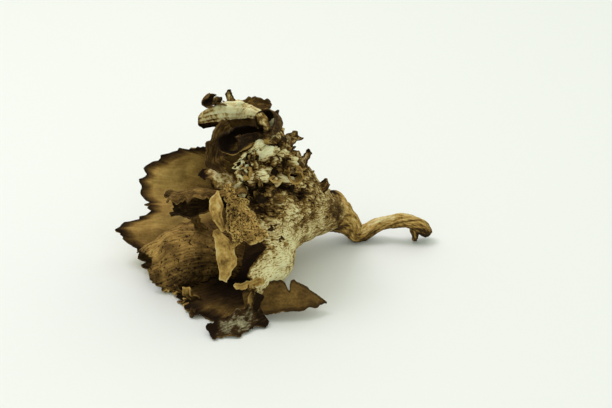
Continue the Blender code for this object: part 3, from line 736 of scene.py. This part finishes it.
def make_bell():
    angles = bell_angles()
    shares = bell_shares()
    grid = warped(bell_sheet(angles))
    folded = folded_zone(angles, shares)
    normals = grid_normals(grid)
    crest = ridges(grid, CRUMPLE_SPAN, 2) - CRUMPLE_MIDDLE
    grid = pushed(grid, (CRUMPLE_SOFT + (CRUMPLE_ROUGH - CRUMPLE_SOFT) * folded) * crest, normals)
    grid, _ = pressed(grid, angles, shares, CREASES, normals)
    grid, deep = pressed(grid, angles, shares, CREVICES, normals)
    small = ridges(grid, FINE_SPAN, 3, 4.0) - CRUMPLE_MIDDLE
    grid = pushed(grid, (FINE_SOFT + FINE_ADDED * folded) * small, normals)
    flat = flat_places(angles * PLEATS_ROUND, shares * PLEATS_ALONG)
    flat = flat + PLEAT_WANDER * drift(grid, PLEAT_WANDER_SPAN)
    pleats = thin_lines(flat, PLEAT_SPAN, 40.0, PLEAT_WIDTH)
    cracks = folded * (PLEATS * pleats + CRACKS * thin_lines(grid, CRACK_SPAN, 60.0, CRACK_WIDTH))
    grid = pushed(grid, -CRACK_DEPTH * cracks, normals)
    crest = (0.4 + 0.6 * folded) * crest + (0.3 + 0.7 * folded) * small
    # Cracks and crevices are painted darker: painted shade, and partly dirt.
    crest = crest - CRACK_SHADE_AND_DIRT * cracks - CREVICE_SHADE_AND_DIRT * deep
    top_roll = margin_zone(angles, shares, *TOP_ROLL)
    grooves = waves(flat_places(angles / GROOVE_TURN, shares * GROOVES_ALONG), 1.0)
    grid = pushed(grid, ROLL_GROOVES * top_roll * grooves, normals)
    crest = crest + ROLL_GROOVE_TONE * top_roll * grooves
    tilt = np.clip((TOP_ROLL[0] - (angles + 180) % 360 + 180) / ROLL_TILT_REACH, -1, 1)
    grid[..., 2] += top_roll * (ROLL_TILT * tilt - ROLL_DROP * (1.5 - tilt**2))[:, None]
    whole = 1 - WHOLE_SHARE * np.exp(-(angle_between(angles, WHOLE_ANGLE) / WHOLE_REACH) ** 4)
    grid = frayed(grid, BELL_TEETH * whole, BELL_CURL * whole)
    away = from_edge(grid)
    keep_above(grid, SETTLED)
    grid[-1] = grid[0]
    thin = waves(grid, LACE_SPAN, 21.0) * margin_zone(angles, shares, *LACE)
    more = {
        "outer_tone_and_light": tone_light_and_shade(OUTER_TONE_LIGHT_AND_SHADE, angles, shares),
        "inner_tone_and_light": tone_light_and_shade(INNER_TONE_LIGHT_AND_SHADE, angles, shares),
        "calm": ROLL_CALM * top_roll,
        "folded": folded,
        "hole": (thin > LACE_OPEN) & (away > LACE_EDGE),
    }
    skins = FINISHES["pale"]
    return walled("bell", skins, grid, BELL_WALL, BELL_EDGE_WALL, away, crest, True, more), grid


bell, bell_grid = make_bell()
print("bell", len(bell.data.polygons), "faces")

# %% [markdown]
# The margin's lobes are narrower sheets, each bent along a spine of its own. A lobe has the
# spine's points, the way its brown face looks at the root and at the tip, its widths along the
# spine, how many degrees its cross-section turns at the root and at the tip, and its finish.
# One function makes them all.

# %% The lobes of the margin
LOBE_WALL, LOBE_EDGE_WALL = 0.62, 0.3
LOBE_STEP = 0.24
LOBE_TEETH, LOBE_WAVE = 1.2, 0.35
LOBE_FINE_SPAN, LOBE_FINE = 1.8, 0.12
LEAN_FROM = 0.4


def lobe_of(spine, face, width, curl, finish, **more):
    return dict(spine=spine, face=face, width=width, curl=curl, finish=finish, **more)


LOBES = dict(
    # The hood's tones paint light on its upper left and shade on its lower right.
    left_hood=lobe_of(((-2, 1, 6.4), (-8, 0, 8.2), (-14.2, -0.6, 8), (-20.6, 0, 4.6)),
        ((-0.3, -0.85, 0.5), (-0.55, -0.7, 0.5)), (10, 13, 15.5, 15), (-90, -135), "hood",
        tones=((0, 0.04, -0.14, -18, -8), (2, -0.2, 0.08, 1, 8)), teeth=2,
        lean=(-3.2, -0.9, 0.4, -1.4, 1.2, 2.6)),
    flap=lobe_of(((-4, -6.2, 26.9), (-3.2, -8.4, 24.7), (-1.6, -9.9, 21.6), (0.5, -11.6, 17.4)),
        ((-0.3, -0.8, 0.5), (0, -0.9, 0.4)), (1.4, 2.8, 5, 7), (-30, -45), "netted"),
    high_leaf=lobe_of(((-5.6, -7.6, 26.2), (-6, -10.2, 23.2), (-4.6, -11, 18.6)),
        ((-0.2, -0.9, 0.3), (0, -0.9, 0.2)), (0.9, 2.7, 0.9), (40, 40), "golden", teeth=0.5,
        tones=((0, 0.1, -0.5, -5.4, -4.2),)),
    low_leaf=lobe_of(((-6.2, -10.6, 18.4), (-4.4, -11.9, 14.2), (-5, -12.4, 9.2)),
        ((-0.2, -0.9, 0.3), (0, -0.9, 0.2)), (0.9, 4, 1), (-30, -30), "golden", teeth=0.5,
        tones=((0, 0.04, 0.04, 0, 1),)),
    # The tongue's tones paint light along its top and shade below it.
    folded_tongue=lobe_of(((-0.6, -4.4, 24.4), (-4.2, -5, 24), (-9.4, -4.6, 23.6), (-15.3, -3.4, 23.2)),
        ((0.1, -0.9, -0.1), (0, -0.95, -0.1)), (7, 9, 11, 11), (240, 270), "dark",
        tones=((2, -0.25, 0.3, 23, 26.5),), teeth=2, wave=0.9),
    tongue_curl=lobe_of(((-13.4, -5, 24.4), (-15.2, -4.8, 25), (-16.4, -4.2, 24)),
        ((-0.2, -0.6, -0.7), (-0.4, -0.6, -0.5)), (3.4, 3.6, 2.6), (220, 320), "dark"),
    pale_strip=lobe_of(((-0.6, -4, 26), (-2.8, -4.6, 26.2), (-6.5, -3.5, 27.6), (-10.2, -2, 28.2)),
        ((0, 0.7, -0.7),) * 2, (3, 3.4, 4, 2.5), (40, 60), "pale", calm=1,
        tones=((0, -0.5, 0.1, -10, -8),)),
    # inside darkens the ring's inner face: painted shade in the roll.
    ring_roll=lobe_of(((3, 2, 31.5), (-0.6, 0.5, 32), (-3.8, -2.4, 32.6), (-5, -5.4, 33.4)),
        ((0.4, 0.1, 0.9),) * 2, (9, 11, 11.5, 11.5), (240, 318), "dark", spiral=0.08, teeth=0.2,
        tones=((2, 1.2, -0.3, 33, 34.6),), wave=0.6, inside=-1.1),
    pocket=lobe_of(((-3.4, 2.6, 35), (-6, -0.4, 33.4), (-6.6, -2.6, 30.8), (-4.8, -3.2, 29)),
        ((-0.2, -0.9, 0.1), (0.3, -0.9, 0.3)), (5, 5, 5, 3), (60, 110), "dark"),
    slot_roll=lobe_of(((5.6, 4, 36.4), (5.2, 1.2, 38.4), (4.6, -1.6, 40)), ((-0.5, 0, -0.8),) * 2,
        (9, 12, 13), (290, 310), "dark", teeth=0.2, inside=-0.3),
    slot_flake=lobe_of(((1.8, -1.6, 39.8), (2.5, -2, 38.2), (3.5, -2.2, 36.4)), ((0.3, 0.9, -0.3),) * 2,
        (1.2, 2.2, 1.4), (30, 30), "outer", teeth=0.3, calm=1),
    left_knob=lobe_of(((-7.4, 8.4, 37), (-8.2, 6, 37.8), (-8.6, 3.4, 38.2)), ((0.3, 0, 0.9),) * 2,
        (6.5, 7, 7), (260, 300), "dark", teeth=0.4, tones=((2, -0.2, 0, 37, 40),), inside=-0.3),
    crest=lobe_of(((-1.8, 6.9, 36.6), (0.8, 8, 37.5), (3.4, 8.8, 37.2)),
        ((0.2, -0.7, 0.7), (0.3, -0.8, 0.5)), (3, 4.2, 3.4), (110, 150), "dark"),
    crest_tooth=lobe_of(((-3.4, 7.4, 37.8), (-3.5, 7.8, 39.2), (-3.2, 7.6, 40.5)),
        ((-0.6, -0.8, 0), (-0.4, -0.9, 0.2)), (3, 2.6, 1.4), (40, 60), "outer"),
    wing=lobe_of(((-1, -11, 2.6), (4, -10.3, 3.4), (10, -9.7, 3.9), (15.4, -8.8, 3.4)),
        ((0, -0.62, 0.78), (0.1, -0.62, 0.78)), (5, 7.2, 5.4, 0.9), (20, 30), "matt",
        notch=(0.56, 0.028, 0.8), teeth=0.8, tones=((2, -0.16, 0, 1.4, 4.2),)),
    wing_curl=lobe_of(((1.6, -11.2, 5.6), (0.6, -12.4, 4), (0.5, -13.2, 2.2)),
        ((-0.6, -0.8, 0.1), (-0.5, -0.8, 0.3)), (3.4, 4, 3), (-150, -200), "golden",
        tones=((0, 0.35, -0.6, -0.6, 1.4),)),
    rim_fold=lobe_of(((3, -10.4, 7.4), (0, -11.2, 8.2), (-2.8, -11.6, 7.9)), ((-0.2, -0.5, 0.8),) * 2,
        (1, 1.1, 0.8), (-40, -60), "golden", tones=((0, 0.2, 0, -2, 2),)),
    toe=lobe_of(((2.8, -13, 2.4), (-3, -16.2, 1.9), (-7.4, -18.6, 1.3)), ((0, 0.6, -0.8),) * 2,
        (4.6, 4.4, 2.8), (-30, -60), "grey", calm=1,
        tones=((0, -0.45, 0.14, -7.6, -5.6), (0, 0, -0.35, 0.2, 2.4))),
    floor_curl=lobe_of(((-10.6, -5.2, 1.4), (-11.8, -5.8, 3), (-12.2, -6.4, 4.8)), ((-0.5, -0.8, 0.3),) * 2,
        (3.4, 3, 2.4), (120, 170), "golden", tones=((2, -0.35, 0.1, 1, 4),)),
    edge_scrap=lobe_of(((-12.4, -4.2, 0.9), (-14.2, -4.6, 1.8), (-15.4, -4.2, 3)), ((0.5, 0.6, 0.4),) * 2,
        (2.2, 2, 1.2), (40, 60), "pale"),
    hood_scrap=lobe_of(((-9.4, 3.8, 11.4), (-10.8, 3.6, 12.8), (-12.2, 3.4, 14)), ((-0.2, -0.7, 0.6),) * 2,
        (1.8, 2, 1.4), (40, 60), "dark"),
    wall_spiral=lobe_of(((8.8, 1.6, 24.6), (9.6, -1.4, 25.2), (10, -3.2, 25.4)), ((-0.4, 0, 0.9),) * 2,
        (8, 9, 9), (270, 290), "golden"),
    wall_curl=lobe_of(((0.6, -3.2, 27.6), (1, -5.4, 29.2), (0.8, -6.2, 30.8)), ((-0.8, -0.5, 0.2),) * 2,
        (3.6, 3.6, 2.4), (120, 170), "orange"),
)
KNOBS = dict(
    high_knob=((7.6, 7, 28.6), (8.8, 7.2, 30.2), (10, 7.4, 31.8)),
    thin_knob=((10.4, 8.2, 24.2), (11.5, 8.4, 25.6), (12.6, 8.6, 27)),
    neck_knob=((13.8, 11.8, 16), (14.9, 12, 17.2), (16, 12.2, 18.4)),
)
for name, spine in KNOBS.items():
    LOBES[name] = lobe_of(spine, ((-0.6, -0.6, 0.5),) * 2, (3, 2.8, 2.4), (80, 110), "outer")


def cross_section(width, turn, spiral, quads):
    """Points of an arc, as (across, towards the face), with its middle at 0.

    spiral tightens one edge and opens the other, so that a roll can pass itself."""
    at = np.linspace(-0.5, 0.5, quads + 1)
    step = width / quads
    bend = math.radians(turn) / width * (1 - 2.4 * spiral * at)
    heading = summed((bend[1:] + bend[:-1]) / 2 * step)
    heading -= np.interp(0, at, heading)
    middle = (heading[1:] + heading[:-1]) / 2
    across = summed(np.cos(middle) * step)
    towards = summed(np.sin(middle) * step)
    return across - np.interp(0, at, across), towards - np.interp(0, at, towards)


def lobe_sheet(lobe, step=LOBE_STEP, least=8):
    """Middle of a lobe's wall: rows along its spine by points across it."""
    spine, widths = lobe["spine"], lobe["width"]
    spine_length = sum(np.linalg.norm(np.subtract(b, a)) for a, b in zip(spine, spine[1:]))
    along = max(least, round(spine_length / step))
    across = max(least, round(max(widths) / step))
    share = np.linspace(0, 1, along + 1)
    spine = curve_through(spine, share * (len(spine) - 1))
    widths = curve_through(np.array(widths, float)[:, None], share * (len(widths) - 1))[:, 0]
    forward = unit_rows(np.gradient(spine, axis=0))
    root_face, tip_face = (unit(face) for face in lobe["face"])
    face = (1 - share)[:, None] * root_face + share[:, None] * tip_face
    face = unit_rows(face - (face * forward).sum(axis=1)[:, None] * forward)
    sideways = np.cross(forward, face)
    turns = (1 - share) * lobe["curl"][0] + share * lobe["curl"][1]
    rows = []
    for k, (width, turn) in enumerate(zip(widths, turns)):
        x, y = cross_section(width, turn, lobe.get("spiral", 0), across)
        rows.append(spine[k] + x[:, None] * sideways[k] + y[:, None] * face[k])
    return np.array(rows)


def notched(grid, share, half_width, depth):
    """The grid with a V cut into one side, at a share of its length."""
    rows, columns = grid.shape[:2]
    near = np.clip(1 - np.abs(np.linspace(0, 1, rows) - share) / half_width, 0, 1)[:, None, None]
    middle = grid[:, columns // 2][:, None]
    one_side = np.arange(columns) < columns // 2
    return grid + depth * near * one_side[None, :, None] * (middle - grid)


def leaned(grid, amounts):
    """The grid with its tip pushed on, by amounts read from side to side."""
    rows, columns = grid.shape[:2]
    push = curve_through(np.array(amounts, float)[:, None], np.linspace(0, len(amounts) - 1, columns))[:, 0]
    late = np.clip((np.linspace(0, 1, rows) - LEAN_FROM) / (1 - LEAN_FROM), 0, 1) ** 2
    return grid + late[:, None, None] * (push[:, None] * unit_rows(grid[-1] - grid[-4]))[None]


def edge_distance(grid):
    """How far each point of a lobe lies from its nearest free edge."""
    sides = np.minimum(from_edge(grid), from_edge(grid[:, ::-1])[:, ::-1])
    return np.minimum(sides, from_edge(grid.transpose(1, 0, 2)).T)


def make_lobe(name, lobe):
    grid = warped(lobe_sheet(lobe))
    if "lean" in lobe:
        grid = leaned(grid, lobe["lean"])
    crest = ridges(grid, CRUMPLE_SPAN, 2) - CRUMPLE_MIDDLE
    small = ridges(grid, LOBE_FINE_SPAN, 3, 4.0) - CRUMPLE_MIDDLE
    grid = pushed(grid, CRUMPLE_SOFT * crest + LOBE_FINE * small, grid_normals(grid))
    grid = frayed_all_round(grid, lobe.get("teeth", LOBE_TEETH), lobe.get("wave", LOBE_WAVE))
    if "notch" in lobe:
        grid = notched(grid, *lobe["notch"])
    keep_above(grid, SETTLED)
    calm = {"calm": np.full(grid.shape[:2], lobe.get("calm", 0.0))}
    return walled(name, FINISHES[lobe["finish"]], grid, LOBE_WALL, LOBE_EDGE_WALL, edge_distance(grid),
                  crest + small, more=calm)


def lobe_tone_light_and_shade(piece, tones):
    """How much lighter each point is: painted light and shade, and tone, by amounts that change along an
    axis.
    """
    points = points_of(piece)
    tone = np.zeros(len(points))
    for axis, first, last, start, end in tones:
        tone += first + (last - first) * np.clip((points[:, axis] - start) / (end - start), 0, 1)
    return tone


lobes = {name: make_lobe(name, lobe) for name, lobe in LOBES.items()}
print(len(lobes), "lobes", sum(len(lobe.data.polygons) for lobe in lobes.values()), "faces")

# %% [markdown]
# Where the wall has collapsed, and along its torn edges, shreds of flesh stand out from it. Each
# shred is a tiny lobe of its own. A seeded draw places them in a few zones, and they are joined
# into one piece.

# %% Shreds of flesh
SHRED_SEED = 11
SHRED_STEP = 0.6
SHRED_WALL, SHRED_EDGE_WALL = 0.3, 0.22
SHRED_WARP, SHRED_WARP_SPAN = 0.12, 0.7
SHRED_TONES = (-0.35, 0.12)
SHRED_ZONES = (
    (306, 334, 0.34, 0.76, 52, 1.9, 1, ("pale", "dark", "pale", "golden")),
    (338, 372, 0.16, 0.62, 24, 1.5, 1, ("pale", "pale", "dark")),
    (292, 306, 0.58, 0.80, 14, 2.2, 1, ("dark", "dark", "pale")),
    (308, 326, 0.70, 0.90, 22, 1.4, 1, ("pale", "pale", "orange", "golden")),
    (168, 215, 0.90, 0.97, 15, 1.7, 1, ("golden", "dark")),
    (262, 290, 0.60, 0.74, 8, 1.4, 1, ("pale", "dark")),
    (330, 372, 0.58, 0.80, 20, 2.6, -1, ("dark", "dark", "pale")),
)


def shred(chance, size, root, normal, flat):
    """A tiny lobe that stands out from root and leans over towards flat."""
    lift = math.radians(chance.uniform(10, 65))
    bend = lift + math.radians(chance.uniform(-60, 60))
    size = size * chance.uniform(0.5, 1.3)
    middle = root + size * 0.5 * (math.cos(lift) * flat + math.sin(lift) * normal)
    tip = middle + size * 0.5 * (math.cos(bend) * flat + math.sin(bend) * normal)
    face = math.cos(lift) * normal - math.sin(lift) * flat
    wide = size * chance.uniform(0.5, 1.0)
    return {"spine": (root - 0.4 * normal, middle, tip), "width": (wide, wide * 0.9, wide * 0.3),
            "face": (face, face), "curl": (chance.uniform(-90, 90), chance.uniform(-160, 160))}


def make_shreds():
    chance = random.Random(SHRED_SEED)
    angles, shares, normals = bell_angles(), bell_shares(), grid_normals(bell_grid)
    made = []
    for from_angle, to_angle, from_share, to_share, count, size, side, finishes in SHRED_ZONES:
        for _ in range(count):
            column = angle_between(angles, chance.uniform(from_angle, to_angle)).argmin()
            row = np.abs(shares - chance.uniform(from_share, to_share)).argmin()
            normal = side * normals[column, row]
            forward = unit(bell_grid[column, row] - bell_grid[column, row - 2])
            turn = chance.uniform(0, 2 * math.pi)
            flat = math.cos(turn) * forward + math.sin(turn) * np.cross(normal, forward)
            grid = lobe_sheet(shred(chance, size, bell_grid[column, row], normal, flat), SHRED_STEP, 4)
            grid = grid + SHRED_WARP * drift(grid, SHRED_WARP_SPAN)
            keep_above(grid, SETTLED)
            skins = FINISHES[chance.choice(finishes)]
            crest = np.zeros(grid.shape[:2])
            piece = walled("shred", skins, grid, SHRED_WALL, SHRED_EDGE_WALL, edge_distance(grid), crest)
            tone = chance.uniform(*SHRED_TONES)
            made.append(relieved(piece, 0.05, 0.03, 0.2, tone, tone))
    for piece in made:
        piece.select_set(True)
    bpy.context.view_layer.objects.active = made[0]
    bpy.ops.object.join()
    made[0].name = made[0].data.name = "shreds"
    bpy.ops.object.select_all(action="DESELECT")
    return made[0]


shreds = make_shreds()
print("shreds", len(shreds.data.polygons), "faces")

# %% [markdown]
# The stem is a tube of uneven thickness. It leaves the bell's neck, bends low to touch the
# surface, arches and ends in a hook with two points.

# %% The stem and its hook
STEM = (
    (13.6, 17.2, 8.9, 4.3), (16.8, 19, 6.9, 3.8), (19.6, 20, 4.3, 2.7), (22.8, 19.9, 1.5, 1.95),
    (26.2, 20, 3.1, 1.6), (28.4, 20, 4.5, 1.45), (30.6, 20, 5.1, 1.4), (32.8, 20, 5, 1.4),
    (34.9, 20, 4.2, 1.5), (36.8, 20, 2.8, 1.4), (37.7, 20, 1.7, 0.9),
)
PRONG = (
    (32.4, 20, 5, 0.95), (33.8, 19.8, 4, 0.95), (34.5, 19.3, 2.2, 0.85), (34.4, 19, 0.5, 0.6),
)
STEM_WAIST, STEM_BUMPS, STEM_TWIST = 0.12, 0.06, 6.0
GROOVES, FINE_GROOVES = 0.05, 0.03
ROUNDED_RINGS = 5
FAR_FROM_EDGE = 9.0


def tube_rings(path, rings, sides):
    """Rings of a bumpy tube along a path of x, y, z and radius."""
    path = curve_through(path, np.linspace(0, len(path) - 1, rings))
    forward = unit_rows(np.gradient(path[:, :3], axis=0))
    first = unit_rows(np.cross(forward, (0.1, 1.0, 0.0)))
    second = np.cross(forward, first)
    angle = np.linspace(0, 2 * math.pi, sides + 1)
    grid = []
    for k in range(rings):
        twisted = angle + STEM_TWIST * k / rings
        grooves = GROOVES * np.cos(9 * twisted) + FINE_GROOVES * np.cos(17 * twisted + 2)
        uneven = STEM_WAIST * np.cos(2 * twisted) + STEM_BUMPS * np.cos(5 * twisted + 1) + grooves
        from_end = min(k, rings - 1 - k)
        rounding = math.sqrt(max(0.0, 1 - (1 - min(from_end / ROUNDED_RINGS, 1)) ** 2))
        radius = (path[k, 3] * (1 + uneven) * rounding)[:, None]
        ring = np.cos(angle)[:, None] * first[k] + np.sin(angle)[:, None] * second[k]
        grid.append(path[k, :3] + radius * ring)
    return np.array(grid)


def make_tube(name, path, rings, sides):
    grid = warped(tube_rings(path, rings, sides))
    keep_above(grid, 0.03)
    piece, row, column = grid_primitive(name, grid, fibres_down=True)
    write_values(piece, "from_edge", np.full(len(row), FAR_FROM_EDGE))
    write_values(piece, "crest", ridges(grid, CRUMPLE_SPAN, 2)[row, column] - CRUMPLE_MIDDLE)
    sew(piece, outwards=True)
    bpy.ops.object.shade_smooth()
    piece.data.materials.append(stem_skin)
    return piece


stem = make_tube("stem", STEM, 220, 56)
prong = make_tube("prong", PRONG, 60, 36)
print("stem and prong", len(stem.data.polygons) + len(prong.data.polygons), "faces")

# %% [markdown]
# Now every piece gets its relief, moves to the place of the solid and is tied to it. The stem
# gets painted light on top and painted shade where it ends inside the throat, and it is darker
# at its neck and tip.

# %% Relief, place and ties
NECK_ENDS, NECK_FADE, NECK_TONE = 14, 12, 0.18
TIP_STARTS, TIP_FADE, TIP_TONE = 33, 4, 0.22
# The throat's amounts paint shade where the stem ends inside the throat; the top amount below paints light
# on top of the stem.
THROAT_STARTS, THROAT_FADE, THROAT_PAINTED_SHADE = -33, 1.5, 0.6
TOP_PAINTED_LIGHT, STEM_DARKER = 0.3, 0.18


def finished(piece):
    """Moves the piece to the solid's place and ties it to the solid."""
    points = (points_of(piece) - ORIGIN) * MM
    piece.data.vertices.foreach_set("co", points.ravel())
    piece.data.update()
    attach(piece, "root")
    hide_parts(NODE)


folded_relief = 0.17 + 0.2 * values_of(bell, "folded")
relieved(bell, folded_relief, 0.06, 0.55, values_of(bell, "outer_tone_and_light"), values_of(bell, "inner_tone_and_light"))
finished(bell)
for name, lobe in lobes.items():
    # The tones of some lobes are painted light and shade, and inside paints shade on the inner face of a
    # rolled lobe.
    tone = lobe_tone_light_and_shade(lobe, LOBES[name].get("tones", ()))
    relieved(lobe, 0.14, 0.05, 0.35, tone, tone + LOBES[name].get("inside", 0))
    finished(lobe)
for tube in (stem, prong):
    places = points_of(tube)
    from_neck = np.clip((places[:, 0] - NECK_ENDS) / NECK_FADE, 0, 1)
    to_tip = np.clip((places[:, 0] - TIP_STARTS) / TIP_FADE, 0, 1)
    in_throat = np.clip(((places - MOUTH_CENTRE) @ AXIS - THROAT_STARTS) / THROAT_FADE, 0, 1)
    upwards = read(tube.data.vertices, "normal", 3)[:, 2]
    # Painted light on top of the stem and painted shade inside the throat; darker at the neck and tip.
    lit = TOP_PAINTED_LIGHT * upwards - STEM_DARKER + NECK_TONE * from_neck
    lit = lit - TIP_TONE * to_tip - THROAT_PAINTED_SHADE * in_throat
    relieved(tube, 0.08, 0.0, 0.4, lit, lit)
    finished(tube)
finished(shreds)
print(len(bpy.data.materials), "finishes")

# %% [markdown]
# ## The studio
# A pale floor, a small lamp from the upper left, a wide one overhead from behind, a weak one
# from the front, and a camera with a long lens that looks down by 28 degrees.

# %% Floor, lights and camera
CAMERA_TARGET = np.array((11.2, 0.0, 19.5)) - ORIGIN
CAMERA_DISTANCE = 340.0
CAMERA_ELEVATION = math.radians(28)
LENS, SENSOR = 100, 36
FLOOR_COLOUR = (0.81, 0.825, 0.79)
LAMP_COLOUR = (0.97, 0.88, 1.0)
AIR_COLOUR, AIR_LIGHT = (0.85, 0.95, 0.79), 0.70
LIT_POINT = (0, 0, 0.015)
LAMPS = (
    ("key", (-0.20, 0.05, 0.44), 0.18, 0.74),
    ("overhead", (0.1, 0.34, 0.62), 1.2, 2.48),
    ("front", (0.15, -0.55, 0.35), 0.4, 0.56),
)


def aimed(obj, target):
    """Turns obj so that it looks at the target, both in metres."""
    direction = Vector(target) - obj.location
    obj.rotation_euler = direction.to_track_quat("-Z", "Y").to_euler()


def plain_floor():
    bpy.ops.mesh.primitive_plane_add(size=3, location=(0, 0, 0))
    floor = bpy.context.object
    floor.name = "floor"
    paint = bpy.data.materials.new("pale_paper")
    paint.use_nodes = True
    shader = paint.node_tree.nodes["Principled BSDF"]
    shader.inputs["Base Color"].default_value = (*FLOOR_COLOUR, 1)
    shader.inputs["Roughness"].default_value = 0.6
    shader.inputs["Specular IOR Level"].default_value = 0.2
    floor.data.materials.append(paint)


def soft_light(name, place, size, power):
    bpy.ops.object.light_add(type="AREA", location=place)
    lamp = bpy.context.object
    lamp.name = name
    lamp.data.size = size
    lamp.data.energy = power
    lamp.data.color = LAMP_COLOUR
    aimed(lamp, LIT_POINT)


plain_floor()
for lamp in LAMPS:
    soft_light(*lamp)
world = bpy.data.worlds.new("studio")
bpy.context.scene.world = world
world.use_nodes = True
air = world.node_tree.nodes["Background"]
air.inputs["Color"].default_value = (*AIR_COLOUR, 1)
air.inputs["Strength"].default_value = AIR_LIGHT

back = Vector((0, -math.cos(CAMERA_ELEVATION), math.sin(CAMERA_ELEVATION)))
target = Vector(CAMERA_TARGET) * MM
bpy.ops.object.camera_add(location=target + back * CAMERA_DISTANCE * MM)
camera = bpy.context.object
camera.data.lens = LENS
camera.data.sensor_width = SENSOR
camera.data.clip_start = 0.01
aimed(camera, target)
bpy.context.scene.camera = camera
bpy.context.scene.view_settings.view_transform = "Standard"
